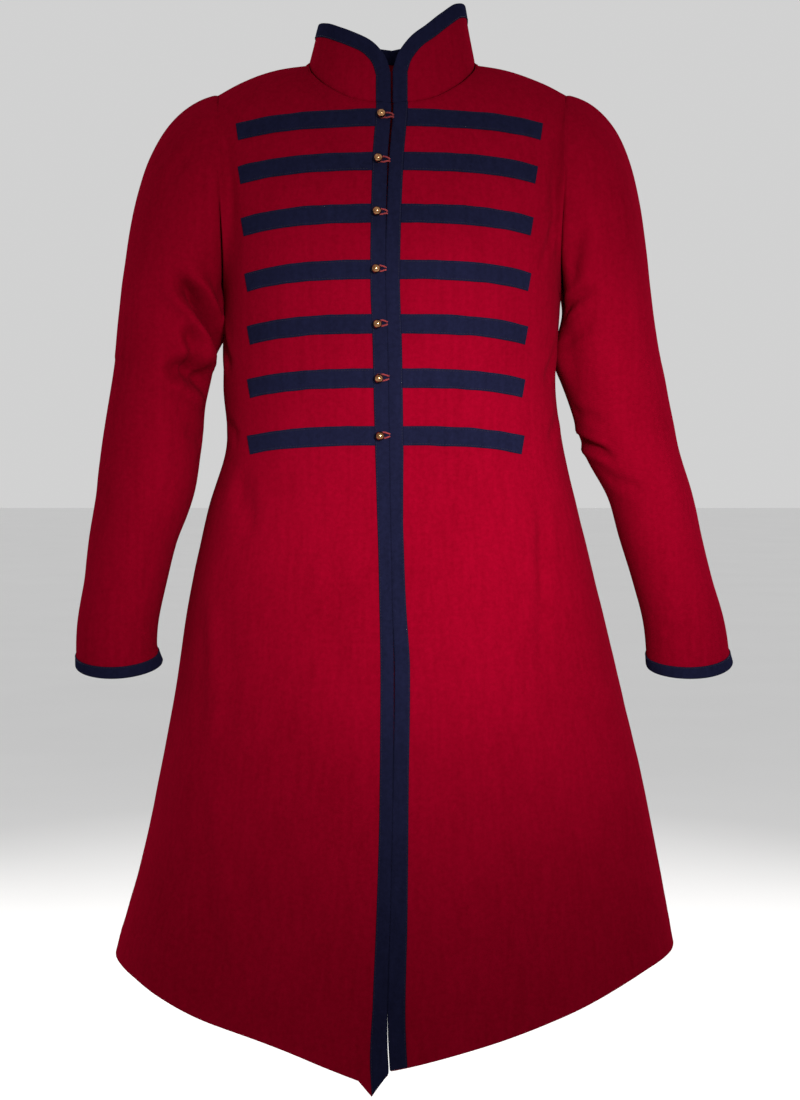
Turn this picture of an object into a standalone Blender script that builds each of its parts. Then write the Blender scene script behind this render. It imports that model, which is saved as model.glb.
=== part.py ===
"""A long-sleeved wool coat with a stand collar, worn and buttoned, hollow inside.

Metres, +Z up. The origin is the middle of the neck at the height of the shoulders, +X is the
wearer's left and the front faces -Y. Each cut piece is a sheet of points on the coat's form,
given its wall by Solidify, and what is sewn on it is made from its points, moved out.
"""

import math

import bmesh
import bpy
import numpy as np
from mathutils import Vector
from mathutils.bvhtree import BVHTree

COAT = "medieval_surcoat"

# Cloth and seams
WOOL = 0.0022  # wall of the coat cloth
TAPE = 0.0010  # wall of the navy tape
REST = 0.0004  # between a panel and the tape on it
BAR_REST = 0.0009  # between a front and its bars, which cross the folds of the chest
COLLAR_REST = 0.0006  # between the collar and the tape that turns its corners
SIDE_SEAM = 0.0007  # between the front and the back at the side
SHOULDER_SEAM = 0.0010  # between the inner sides of the front and the back on the shoulder
ARM_SEAM = 0.0017  # between the body and the sleeve
NECK_SEAM = 0.0013  # between the body and the collar

# Tape, buttons and loops
EDGE_TAPE = 0.0152  # width of the binding on the front edges and the collar
CUFF_TAPE = 0.0115  # width of the binding on the cuffs
BAR_HEIGHT = 0.0212
BAR_DROOP = 0.0105  # how far a bar's outer end lies below its inner end
BALL_RADIUS = 0.0052
SHANK_RADIUS = 0.0022
SHANK_HEIGHT = 0.0030
BUTTON_INSET = 0.0085  # from the front edge to the button
CORD_RADIUS = 0.0010
LOOP_REACH = 0.0034  # how far the loop laps over the other front's binding

# Columns: height, half width, shift of the middle across, depth in front, depth behind
BODY_SECTIONS = (
    (-1.170, 0.3590, 0.0030, 0.2330, 0.2420),
    (-1.029, 0.3270, 0.0035, 0.2110, 0.2180),
    (-0.940, 0.3060, 0.0080, 0.1970, 0.2030),
    (-0.833, 0.2850, 0.0090, 0.1820, 0.1860),
    (-0.726, 0.2635, 0.0065, 0.1670, 0.1680),
    (-0.619, 0.2430, 0.0025, 0.1510, 0.1500),
    (-0.512, 0.2180, 0.0010, 0.1350, 0.1300),
    (-0.440, 0.1995, 0.0030, 0.1270, 0.1180),
    (-0.370, 0.1970, -0.0030, 0.1320, 0.1210),
    (-0.280, 0.1990, 0.0000, 0.1380, 0.1280),
)
ROUNDNESS = 0.89  # 1 makes the sections ellipses, less makes them squarer

# Columns: angle from the centre front, hem height on the wearer's right, and on the left
HEM = (
    (0.0, -1.138, -1.118),
    (10.0, -1.114, -1.102),
    (20.0, -1.094, -1.087),
    (36.0, -1.076, -1.063),
    (60.0, -1.046, -1.032),
    (90.0, -1.038, -1.021),
    (135.0, -1.040, -1.030),
    (180.0, -1.042, -1.042),
)

# Columns: height, sway of the front edges across, extra gap between them
FRONT_EDGES = (
    (-1.170, -0.0065, 0.0010),
    (-1.105, -0.0055, 0.0026),
    (-1.050, -0.0035, 0.0006),
    (-0.950, -0.0010, 0.0000),
    (-0.850, 0.0012, 0.0000),
    (-0.695, 0.0030, 0.0016),
    (-0.620, 0.0008, 0.0000),
    (-0.500, -0.0017, 0.0000),
    (-0.330, -0.0045, 0.0000),
    (-0.250, -0.0075, 0.0000),
    (-0.120, -0.0050, 0.0000),
    (-0.060, -0.0010, 0.0000),
    (-0.040, 0.0000, 0.0000),
)

# Columns: side, angle from the centre front, its drift lower down, top, bottom, half width, depth
FOLDS = (
    (1, 47.0, -4.0, -0.46, -0.76, 11.0, -0.0040),
    (1, 22.0, 6.0, -0.70, -1.00, 10.0, 0.0035),
    (1, 72.0, 0.0, -0.56, -1.16, 15.0, 0.0060),
    (-1, 52.0, -6.0, -0.58, -1.16, 13.0, 0.0045),
    (-1, 34.0, 0.0, -0.78, -1.16, 11.0, -0.0040),
    (-1, 76.0, 0.0, -0.46, -0.90, 12.0, -0.0040),
    (1, 112.0, 0.0, -0.50, -1.16, 14.0, 0.0080),
    (1, 142.0, 2.0, -0.46, -1.16, 14.0, -0.0080),
    (-1, 108.0, 0.0, -0.52, -1.16, 15.0, 0.0070),
    (-1, 138.0, 0.0, -0.48, -1.16, 14.0, -0.0070),
    (-1, 165.0, 2.0, -0.55, -1.16, 13.0, 0.0060),
)

CHEST = -0.280  # height where the panels start to close over the shoulders
NECK_HALF_WIDTH = 0.0990
NECK_MIDDLE = -0.0040
NECK_FRONT = 0.0820
NECK_BACK = 0.0740
NECK_POINT = 96.0  # angle round the neck where the shoulder seam starts
# Columns: angle round the neck from the centre front, height of the neck seam
NECK_LINE = (
    (0.0, -0.047),
    (24.0, -0.041),
    (48.0, -0.023),
    (72.0, -0.002),
    (96.0, 0.013),
    (135.0, 0.006),
    (180.0, -0.004),
)
# Columns: part of the way from neck to arm, across, back, up
SHOULDER_LINE = (
    (0.00, 0.0985, 0.0037, 0.0130),
    (0.40, 0.1400, 0.0080, 0.0070),
    (0.72, 0.1790, 0.0100, -0.0065),
    (1.00, 0.2080, 0.0100, -0.0215),
)
# Columns: angle round the armhole from the shoulder by the front, the point's across, back and
# up, then the way the sleeve leaves it across, back and up, and its pull
ARM_RING = (
    (0.0, 0.208, 0.010, -0.0215, 0.98, 0.00, -0.20, 0.97),
    (45.0, 0.204, -0.038, -0.062, 0.90, -0.22, -0.37, 0.92),
    (90.0, 0.200, -0.070, -0.135, 0.70, -0.25, -0.67, 0.80),
    (135.0, 0.198, -0.052, -0.215, 0.42, -0.12, -0.90, 0.60),
    (180.0, 0.201, 0.000, -0.262, 0.24, 0.00, -0.97, 0.50),
    (225.0, 0.199, 0.056, -0.215, 0.42, 0.12, -0.90, 0.60),
    (270.0, 0.201, 0.078, -0.130, 0.70, 0.25, -0.67, 0.80),
    (315.0, 0.204, 0.052, -0.060, 0.90, 0.22, -0.37, 0.92),
    (360.0, 0.208, 0.010, -0.0215, 0.98, 0.00, -0.20, 0.97),
)
# Where the upright lines of a front or back end: from the middle of the panel to NECK_TURN on
# the neck, from there to ARM_TURN on the shoulder, and from there to 90 on the armhole.
NECK_TURN = 24.0
ARM_TURN = 48.0
# The way the cloth runs where it meets the top edge of a front and of the back. Columns: angle
# from the middle of the panel, across, in and up, then its pull
FRONT_RUNS = (
    (0.0, 0.00, 0.39, 0.92, 1.10),
    (12.0, 0.00, 0.54, 0.84, 0.97),
    (18.0, 0.00, 0.80, 0.60, 0.80),
    (24.0, 0.00, 0.97, 0.25, 0.80),
    (36.0, 0.04, 0.96, 0.28, 0.80),
    (48.0, 0.14, 0.92, 0.37, 0.76),
    (58.0, 0.34, 0.50, 0.80, 1.00),
    (69.0, 0.33, -0.08, 0.94, 0.90),
    (80.0, 0.16, -0.22, 0.96, 1.00),
    (90.0, 0.06, 0.00, 1.00, 1.00),
)
BACK_RUNS = (
    (0.0, 0.00, 0.49, 0.87, 0.97),
    (12.0, 0.00, 0.78, 0.62, 0.92),
    (18.0, 0.00, 0.93, 0.36, 0.95),
    (24.0, 0.00, 1.00, 0.02, 1.10),
    (36.0, 0.06, 0.98, 0.18, 0.95),
    (48.0, 0.14, 0.92, 0.37, 0.76),
    (58.0, 0.34, 0.50, 0.80, 1.00),
    (69.0, 0.33, -0.08, 0.94, 0.90),
    (80.0, 0.16, -0.22, 0.96, 1.00),
    (90.0, 0.06, 0.00, 1.00, 1.00),
)

# Columns: height, centre outwards, half width, half depth, centre back
SLEEVE_SECTIONS = {
    -1: (
        (-0.708, 0.3238, 0.0472, 0.0465, -0.029),
        (-0.655, 0.3237, 0.0472, 0.0490, -0.024),
        (-0.601, 0.3147, 0.0482, 0.0520, -0.019),
        (-0.548, 0.3058, 0.0524, 0.0560, -0.014),
        (-0.494, 0.2927, 0.0583, 0.0600, -0.009),
        (-0.440, 0.2850, 0.0589, 0.0630, -0.004),
        (-0.387, 0.2790, 0.0577, 0.0655, 0.001),
        (-0.340, 0.2700, 0.0605, 0.0680, 0.004),
    ),
    1: (
        (-0.708, 0.3492, 0.0486, 0.0465, -0.029),
        (-0.655, 0.3445, 0.0478, 0.0490, -0.024),
        (-0.601, 0.3314, 0.0470, 0.0520, -0.019),
        (-0.548, 0.3177, 0.0488, 0.0560, -0.014),
        (-0.494, 0.3040, 0.0506, 0.0600, -0.009),
        (-0.440, 0.2838, 0.0580, 0.0630, -0.004),
        (-0.387, 0.2689, 0.0610, 0.0655, 0.001),
        (-0.340, 0.2600, 0.0595, 0.0680, 0.004),
    ),
}
SLEEVE_TOP = -0.340
SLEEVE_END = -0.708

COLLAR_HALF_WIDTH = 0.0865  # at the top edge
COLLAR_FRONT = 0.0700
COLLAR_BACK = 0.0620
# Columns: angle from the centre front, top height on the wearer's right, and on the left
COLLAR_TOP = (
    (0.0, -0.012, -0.008),
    (3.0, 0.004, 0.008),
    (8.0, 0.016, 0.021),
    (15.0, 0.026, 0.033),
    (25.0, 0.034, 0.044),
    (40.0, 0.043, 0.060),
    (60.0, 0.052, 0.075),
    (90.0, 0.056, 0.077),
    (130.0, 0.047, 0.055),
    (180.0, 0.038, 0.038),
)

# Columns: number, height, reach on the wearer's right, and on the left
BARS = (
    (1, -0.0650, 0.1800, 0.1740),
    (2, -0.1180, 0.1760, 0.1665),
    (3, -0.1790, 0.1715, 0.1605),
    (4, -0.2430, 0.1670, 0.1575),
    (5, -0.3040, 0.1640, 0.1540),
    (6, -0.3650, 0.1640, 0.1510),
    (7, -0.4300, 0.1645, 0.1500),
)

# How finely each sheet is divided
NECK_STEPS = 6
SHOULDER_STEPS = 3
ARM_STEPS = 9
SKIRT_ROWS = 12
SHOULDER_ROWS = 8
SLEEVE_CAP_ROWS = 6
SLEEVE_ROWS = 8
CORNER_ANGLES = (3.0, 8.0, 24.0)  # more collar lines, for its round front corners
CORNER_STEPS = 3  # collar lines over which the binding turns the corner
COLLAR_ROWS = 3
BAR_ROWS_ON_CHEST = 4

# Columns: colour in linear red, green and blue, roughness, metallic
FINISHES = {
    "wool": ((0.245, 0.0012, 0.0120), 0.92, 0.0),
    "tape": ((0.0095, 0.0090, 0.0260), 0.88, 0.0),
    "brass": ((0.62, 0.40, 0.19), 0.24, 1.0),
    "cord": ((0.16, 0.004, 0.010), 0.80, 0.0),
}


def smooth(rows, column, at):
    """A table's column at a value of its first column, on a smooth curve through the rows."""
    keys = [row[0] for row in rows]
    values = [row[column] for row in rows]
    at = min(max(at, keys[0]), keys[-1])
    last = len(keys) - 1
    i = min(max(int(np.searchsorted(keys, at)) - 1, 0), last - 1)

    def slope(j):
        low, high = max(j - 1, 0), min(j + 1, last)
        return (values[high] - values[low]) / (keys[high] - keys[low])

    step = keys[i + 1] - keys[i]
    t = (at - keys[i]) / step
    return (
        (1 + 2 * t) * (1 - t) ** 2 * values[i]
        + t * (1 - t) ** 2 * step * slope(i)
        + t * t * (3 - 2 * t) * values[i + 1]
        + t * t * (t - 1) * step * slope(i + 1)
    )


def hermite(start, leave, end, arrive, t):
    """A point part of the way along a curve with these ends and these directions at them."""
    return (
        (1 + 2 * t) * (1 - t) ** 2 * start
        + t * (1 - t) ** 2 * leave
        + t * t * (3 - 2 * t) * end
        + t * t * (t - 1) * arrive
    )


def unit(vector):
    return vector / np.linalg.norm(vector)


def half_gap(z):
    """From the middle to a front panel's edge: room for the binding that wraps it."""
    return REST + TAPE + 0.0004 + smooth(FRONT_EDGES, 2, z) / 2


def fold(side, turn, z):
    """How far the folds push the cloth out here."""
    out = 0.0
    for fold_side, angle, drift, top, bottom, width, depth in FOLDS:
        down = (top - z) / (top - bottom)
        if fold_side != side or down <= 0:
            continue
        down = min(down, 1.0)
        away = (turn - angle - drift * down) / width
        growth = math.sin(min(down, 0.7) / 0.7 * math.pi / 2) ** 2
        fade = 1.0 if bottom < -1.1 else math.cos(down * math.pi / 2) ** 0.7
        out += depth * growth * fade * math.exp(-away * away)
    return out


def low_point(side, turn, z):
    """The form below the armholes, at an angle from 0 in front by 90 at the side to 180."""
    half, shift = smooth(BODY_SECTIONS, 1, z), smooth(BODY_SECTIONS, 2, z)
    across = math.sin(math.radians(turn)) ** ROUNDNESS if 0 < turn < 180 else 0.0
    deep = abs(math.cos(math.radians(turn))) ** ROUNDNESS if turn != 90 else 0.0
    if turn < 90:
        gap = half_gap(z)
        x = side * (gap + (half - gap) * across) + shift * across
        y = -deep * smooth(BODY_SECTIONS, 3, z)
    else:
        x = side * half * across + shift
        y = deep * smooth(BODY_SECTIONS, 4, z)
    out = unit(np.array([x * 0.6, y * 1.3, 0.0]))
    return np.array([x, y, z]) + out * fold(side, turn, z)


def neck_point(angle):
    """The neck seam at an angle from the centre front, on the wearer's left."""
    turn = math.radians(angle)
    gap = half_gap(NECK_LINE[0][1])
    deep = NECK_FRONT if angle < 90 else NECK_BACK
    return np.array(
        [
            gap + (NECK_HALF_WIDTH - gap) * math.sin(turn) if angle < 90
            else NECK_HALF_WIDTH * math.sin(turn),
            NECK_MIDDLE - deep * math.cos(turn),
            smooth(NECK_LINE, 1, angle),
        ]
    )


def row_point(rows, at, first):
    """The point that three columns of a table give, from this column on."""
    return np.array([smooth(rows, first + k, at) for k in range(3)])


def top_point(from_middle, behind):
    """Where an upright line of the front or the back ends, on the wearer's left."""
    if from_middle <= NECK_TURN:
        angle = NECK_POINT * from_middle / NECK_TURN
        if behind:
            angle = 180 - (180 - NECK_POINT) * from_middle / NECK_TURN
        return neck_point(angle)
    if from_middle <= ARM_TURN:
        part = (from_middle - NECK_TURN) / (ARM_TURN - NECK_TURN)
        return row_point(SHOULDER_LINE, part, 1)
    angle = 180 * (from_middle - ARM_TURN) / (90 - ARM_TURN)
    return row_point(ARM_RING, 360 - angle if behind else angle, 1)


def upright(side, from_middle, behind):
    """One upright line of a front or back panel, from the hem to its top edge."""
    turn = 180 - from_middle if behind else from_middle
    seam = (0.5 if behind else -0.5) * SIDE_SEAM
    hem = smooth(HEM, 1 if side < 0 else 2, turn)
    points = []
    for k in range(SKIRT_ROWS):
        z = hem + (CHEST - hem) * k / SKIRT_ROWS
        points.append(low_point(side, turn, z))
    start = low_point(side, turn, CHEST)
    leave = unit(start - low_point(side, turn, CHEST - 0.03))
    end = top_point(from_middle, behind)
    runs = BACK_RUNS if behind else FRONT_RUNS
    arrive = unit(row_point(runs, from_middle, 1))
    if NECK_TURN <= from_middle <= ARM_TURN:
        end[1] += (SHOULDER_SEAM / 2 + WOOL * arrive[2]) * (1 if behind else -1)
    if behind:
        arrive[1] = -arrive[1]
    end[0], arrive[0] = side * end[0], side * arrive[0]
    reach = np.linalg.norm(end - start)
    arrive = arrive * reach * smooth(runs, 4, from_middle)
    for k in range(SHOULDER_ROWS + 1):
        t = 1 - (1 - k / SHOULDER_ROWS) ** 1.25
        points.append(hermite(start, leave * reach, end, arrive, t))
    sway_share = (1 - math.sin(math.radians(min(from_middle, 90)))) ** 2
    for point in points:
        if not behind:
            point[0] += sway_share * smooth(FRONT_EDGES, 1, point[2])
        if from_middle == 90:
            point[1] += seam
    return points


def steps(low, high, count):
    return [low + (high - low) * k / count for k in range(count)]


def panel_turns():
    """The upright lines of half a panel, closer together where its top edge curves most."""
    neck = steps(0.0, NECK_TURN, NECK_STEPS)
    shoulder = steps(NECK_TURN, ARM_TURN, SHOULDER_STEPS)
    return neck + shoulder + steps(ARM_TURN, 90.0, ARM_STEPS) + [90.0]


def front_sheet(side):
    """The points of a front, rows from the hem up, columns from the front edge to the side."""
    lines = [upright(side, turn, False) for turn in panel_turns()]
    return np.array(lines).transpose(1, 0, 2)


def back_sheet():
    """The points of the back, columns from the wearer's left side to the right."""
    left = [upright(1, turn, True) for turn in reversed(panel_turns())]
    right = [upright(-1, turn, True) for turn in panel_turns()[1:]]
    return np.array(left + right).transpose(1, 0, 2)


def sleeve_section(side, angle, z):
    """A point of the hanging sleeve: 0 is its outer side, 90 its front."""
    rows = SLEEVE_SECTIONS[side]
    slope = (smooth(rows, 1, z - 0.01) - smooth(rows, 1, z + 0.01)) / 0.02
    lean = math.atan(slope)
    half = smooth(rows, 2, z) * math.cos(lean)
    turn = math.radians(angle)
    return np.array(
        [
            side * (smooth(rows, 1, z) + half * math.cos(lean) * math.cos(turn)),
            smooth(rows, 4, z) - smooth(rows, 3, z) * math.sin(turn),
            z + half * math.sin(lean) * math.cos(turn),
        ]
    )


def sleeve_line(side, angle):
    """One line down a sleeve, from the armhole to the cuff."""
    start = row_point(ARM_RING, angle, 1)
    leave = unit(row_point(ARM_RING, angle, 4))
    start += leave * ARM_SEAM
    start[0], leave[0] = side * start[0], side * leave[0]
    end = sleeve_section(side, angle, SLEEVE_TOP)
    arrive = unit(sleeve_section(side, angle, SLEEVE_TOP - 0.03) - end)
    reach = np.linalg.norm(end - start)
    pull = reach * smooth(ARM_RING, 7, angle)
    points = []
    for k in range(SLEEVE_CAP_ROWS):
        t = (k / SLEEVE_CAP_ROWS) ** 1.5
        points.append(hermite(start, leave * pull, end, arrive * reach, t))
    for k in range(SLEEVE_ROWS + 1):
        z = SLEEVE_TOP + (SLEEVE_END - SLEEVE_TOP) * k / SLEEVE_ROWS
        points.append(sleeve_section(side, angle, z))
    return points


def sleeve_sheet(side):
    """The points of a sleeve, rows from the armhole down, columns round it, facing out."""
    angles = steps(0.0, 360.0, 2 * ARM_STEPS)
    if side < 0:
        angles = [-angle % 360 for angle in angles]
    return np.array([sleeve_line(side, angle) for angle in angles]).transpose(1, 0, 2)


def collar_line(side, angle):
    """One upright line of the collar, from the neck seam to its top edge."""
    base = neck_point(angle)
    turn = math.radians(angle)
    gap = base[0] if angle == 0 else 0.0
    deep = COLLAR_FRONT if angle < 90 else COLLAR_BACK
    height = smooth(COLLAR_TOP, 1 if side < 0 else 2, angle)
    full = smooth(COLLAR_TOP, 1 if side < 0 else 2, max(angle, 40.0))
    lean = (height - base[2]) / (full - base[2])
    over = np.array(
        [
            gap + COLLAR_HALF_WIDTH * math.sin(turn),
            NECK_MIDDLE - deep * math.cos(turn),
            full,
        ]
    )
    top = base + (over - base) * lean
    base = base + unit(over - base) * NECK_SEAM
    line = [base + (top - base) * k / COLLAR_ROWS for k in range(COLLAR_ROWS + 1)]
    return [point * (side, 1, 1) for point in line]


def collar_sheet():
    """The points of the collar, rows up, columns from the left front corner round the back."""
    angles = steps(0.0, NECK_POINT, NECK_STEPS) + steps(NECK_POINT, 180.0, NECK_STEPS)
    angles = sorted(angles + list(CORNER_ANGLES))
    left = [collar_line(1, angle) for angle in angles]
    back = [collar_line(1, 180.0)]
    right = [collar_line(-1, angle) for angle in reversed(angles)]
    return np.array(left + back + right).transpose(1, 0, 2)


def sheet_normals(points, closed=False):
    """Unit directions out of a sheet, columns across and rows along."""
    if closed:
        across = np.roll(points, -1, axis=1) - np.roll(points, 1, axis=1)
    else:
        across = np.gradient(points, axis=1)
    normals = np.cross(across, np.gradient(points, axis=0))
    return normals / np.linalg.norm(normals, axis=2, keepdims=True)


def material(finish):
    found = bpy.data.materials.get(finish)
    if found:
        return found
    made = bpy.data.materials.new(finish)
    made.use_nodes = True
    shader = made.node_tree.nodes["Principled BSDF"]
    colour, roughness, metallic = FINISHES[finish]
    shader.inputs["Base Color"].default_value = (*colour, 1.0)
    shader.inputs["Roughness"].default_value = roughness
    shader.inputs["Metallic"].default_value = metallic
    return made


def add_object(name, data, finish):
    data.materials.append(material(finish))
    made = bpy.data.objects.new(name, data)
    bpy.data.collections[COAT].objects.link(made)
    return made


def sheet_faces(points, closed=False):
    rows, columns = points.shape[:2]
    faces = []
    for r in range(rows - 1):
        for c in range(columns if closed else columns - 1):
            near, far = r * columns + c, r * columns + (c + 1) % columns
            faces.append((near, far, far + columns, near + columns))
    return faces


def add_sheet(name, points, finish, wall, outwards=False, closed=False):
    """A sheet of cloth through a grid of points, with its wall given by Solidify."""
    mesh = bpy.data.meshes.new(name)
    mesh.from_pydata(points.reshape(-1, 3).tolist(), [], sheet_faces(points, closed))
    mesh.shade_smooth()
    made = add_object(name, mesh, finish)
    solidify = made.modifiers.new("wall", "SOLIDIFY")
    solidify.thickness = wall
    solidify.offset = 1.0 if outwards else -1.0
    solidify.use_even_offset = False
    solidify.use_quality_normals = True
    return made


def folded_section(width, wall, rest, middles):
    """A folded tape's outline, as distances in from the cloth's edge and out of its face."""
    near, far = rest, rest + TAPE
    inner = [width * k / (middles + 1) for k in range(1, middles + 2)]
    return (
        [(-near, near)]
        + [(s, near) for s in inner]
        + [(s, far) for s in reversed(inner)]
        + [(-far * 0.75, far), (-far, -wall / 2), (-far * 0.75, -wall - far)]
        + [(s, -wall - far) for s in inner]
        + [(s, -wall - near) for s in reversed(inner)]
        + [(-near, -wall - near)]
    )


def add_binding(name, sheet, edge, inward, normals, width, rest=REST, middles=0, closed=False):
    """Folded tape round a cloth edge: its section, laid on the sheet at each of the points."""
    tree = BVHTree.FromPolygons(sheet.reshape(-1, 3).tolist(), sheet_faces(sheet, closed))
    section = folded_section(width, WOOL, rest, middles)
    mesh = bmesh.new()
    rings = []
    for point, along, out in zip(edge, inward, normals):
        ring = []
        for s, h in section:
            place = point + s * along
            if middles and s > 0:
                spot = tree.find_nearest(Vector(place))[0]
                place = np.array(spot)
            ring.append(mesh.verts.new(place + h * out))
        rings.append(ring)
    pairs = list(zip(rings, rings[1:] + rings[:1]))
    if not closed:
        pairs.pop()
        mesh.faces.new(rings[0])
        mesh.faces.new(rings[-1])
    for one, two in pairs:
        for k in range(len(section)):
            m = (k + 1) % len(section)
            mesh.faces.new((one[k], one[m], two[m], two[k]))
    bmesh.ops.recalc_face_normals(mesh, faces=mesh.faces)
    data = bpy.data.meshes.new(name)
    mesh.to_mesh(data)
    mesh.free()
    return add_object(name, data, "tape")


def unit_rows(vectors):
    return vectors / np.linalg.norm(vectors, axis=-1, keepdims=True)


def add_front_binding(name, sheet, normals):
    """The binding of a front edge, which stops just short of the neck seam."""
    edge = sheet[:, 0].copy()
    edge[-1] += unit(edge[-2] - edge[-1]) * 0.0012
    edge[0] += unit(edge[1] - edge[0]) * 0.0002
    inward = unit_rows(sheet[:, 1] - sheet[:, 0])
    add_binding(name, sheet, edge, inward, normals[:, 0], EDGE_TAPE)


def add_collar_binding(sheet, normals):
    """One binding up the left front corner of the collar, round its top and down the right."""
    top = len(sheet) - 1
    route = [(r, 0) for r in range(top)]
    route += [(top, c) for c in range(sheet.shape[1])]
    route += [(r, sheet.shape[1] - 1) for r in range(top - 1, -1, -1)]
    edge = np.array([sheet[r, c] for r, c in route])
    out = np.array([normals[r, c] for r, c in route])
    edge[0] += unit(edge[1] - edge[0]) * 0.0012
    edge[-1] += unit(edge[-2] - edge[-1]) * 0.0012
    along = unit_rows(np.gradient(edge, axis=0))
    inward = unit_rows(np.cross(along, out))
    for k, (r, c) in enumerate(route):
        from_corner = min(c, sheet.shape[1] - 1 - c)
        upright_share = min(max((from_corner - CORNER_STEPS) / CORNER_STEPS, 0.0), 1.0)
        down = unit(sheet[0, c] - sheet[top, c])
        inward[k] = unit((1 - upright_share) * inward[k] + upright_share * down)
    add_binding("collar_binding", sheet, edge, inward, out, EDGE_TAPE, COLLAR_REST, middles=1)


def add_cuff_binding(name, sheet, normals):
    edge, inward = sheet[-1], unit_rows(sheet[-2] - sheet[-1])
    add_binding(name, sheet, edge, inward, normals[-1], CUFF_TAPE, closed=True)


def at_height(line, normals, z):
    """The point and the direction out where an upright line of a sheet reaches a height."""
    heights = line[:, 2]
    i = int(np.clip(np.searchsorted(heights, z) - 1, 0, len(line) - 2))
    t = (z - heights[i]) / (heights[i + 1] - heights[i])
    return line[i] + t * (line[i + 1] - line[i]), unit(normals[i] + t * (normals[i + 1] - normals[i]))


def between(one, two, t):
    return one[0] + t * (two[0] - one[0]), unit(one[1] + t * (two[1] - one[1]))


def add_bar(name, sheet, normals, height, reach):
    """A tape bar on a front panel, from the binding to its outer end, drooping outwards."""
    parts = BAR_ROWS_ON_CHEST if height > CHEST else 1
    rows = []
    for k in range(parts + 1):
        line = []
        for c in range(sheet.shape[1]):
            across = abs(at_height(sheet[:, c], normals[:, c], height)[0][0])
            droop = BAR_DROOP * min(across / reach, 1.1) ** 2.4
            z = height + BAR_HEIGHT * (k / parts - 0.5) - droop
            line.append(at_height(sheet[:, c], normals[:, c], z))
        step = np.linalg.norm(line[1][0] - line[0][0])
        first = (EDGE_TAPE + 0.0006) / step
        kept = [between(line[0], line[1], first)]
        for one, two in zip(line[1:], line[2:]):
            kept.append(one)
            if abs(two[0][0]) >= reach:
                part = (reach - abs(one[0][0])) / (abs(two[0][0]) - abs(one[0][0]))
                kept.append(between(one, two, part))
                break
        rows.append([point + BAR_REST * out for point, out in kept])
    count = min(len(row) for row in rows)
    grid = np.array([row[:count] for row in rows])
    if grid[0, -1, 0] < 0:
        grid = grid[:, ::-1]
    add_sheet(name, grid, "tape", TAPE, outwards=True)


def add_button(name, place, out):
    """A ball button on its shank, turned about the direction out of the coat."""
    ball_middle = SHANK_HEIGHT + BALL_RADIUS * 0.92
    profile = []
    for k in range(7):
        turn = math.radians(152 * k / 6)
        profile.append((BALL_RADIUS * math.sin(turn), ball_middle + BALL_RADIUS * math.cos(turn)))
    profile += [(SHANK_RADIUS, SHANK_HEIGHT * 0.6), (SHANK_RADIUS, 0.0), (0.0, 0.0)]
    mesh = bpy.data.meshes.new(name)
    points = [(r, 0.0, h) for r, h in profile]
    mesh.from_pydata(points, [(k, k + 1) for k in range(len(points) - 1)], [])
    made = add_object(name, mesh, "brass")
    made.location = Vector(place)
    made.rotation_mode = "QUATERNION"
    made.rotation_quaternion = Vector(out).to_track_quat("Z", "Y")
    screw = made.modifiers.new("turn", "SCREW")
    screw.steps = screw.render_steps = 8
    screw.use_merge_vertices = True
    screw.merge_threshold = 0.0001
    return made


def add_loop(name, knot, across, up, out, reach):
    """A cord loop from the other front's binding round a button's shank."""
    round_shank = SHANK_RADIUS + CORD_RADIUS + REST
    curve = bpy.data.curves.new(name, "CURVE")
    curve.dimensions = "3D"
    curve.bevel_depth = CORD_RADIUS
    curve.bevel_resolution = 1
    curve.use_fill_caps = True
    route = [(reach, round_shank), (reach * 0.5, round_shank * 1.02)]
    for k in range(5):
        turn = math.radians(90 + 45 * k)
        route.append((round_shank * math.cos(turn), round_shank * math.sin(turn)))
    route += [(reach * 0.5, -round_shank * 1.02), (reach, -round_shank)]
    spline = curve.splines.new("POLY")
    spline.points.add(len(route) - 1)
    for spot, (s, h) in zip(spline.points, route):
        spot.co = (*(knot + s * across + h * up + (CORD_RADIUS + REST) * out), 1.0)
    return add_object(name, curve, "cord")


def add_fastening(number, height, right, left):
    """The button on the right front's binding and the loop from the left front's."""
    sheet, normals = right
    lift = REST + TAPE
    edge, out = at_height(sheet[:, 0], normals[:, 0], height)
    inner, _ = at_height(sheet[:, 1], normals[:, 1], height)
    inward = unit(inner - edge)
    place = edge + inward * BUTTON_INSET + out * lift
    other, other_out = at_height(left[0][:, 0], left[1][:, 0], height)
    other_inner, _ = at_height(left[0][:, 1], left[1][:, 1], height)
    far = other + unit(other_inner - other) * LOOP_REACH + other_out * lift
    across = unit(far - place)
    up = unit(np.cross(across, out)) * (-1 if np.cross(across, out)[2] < 0 else 1)
    add_button(f"button_{number}", place + out * REST, out)
    reach = float(np.linalg.norm(far - place))
    add_loop(f"loop_{number}", place, across, up, unit(out + other_out), reach)


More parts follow.
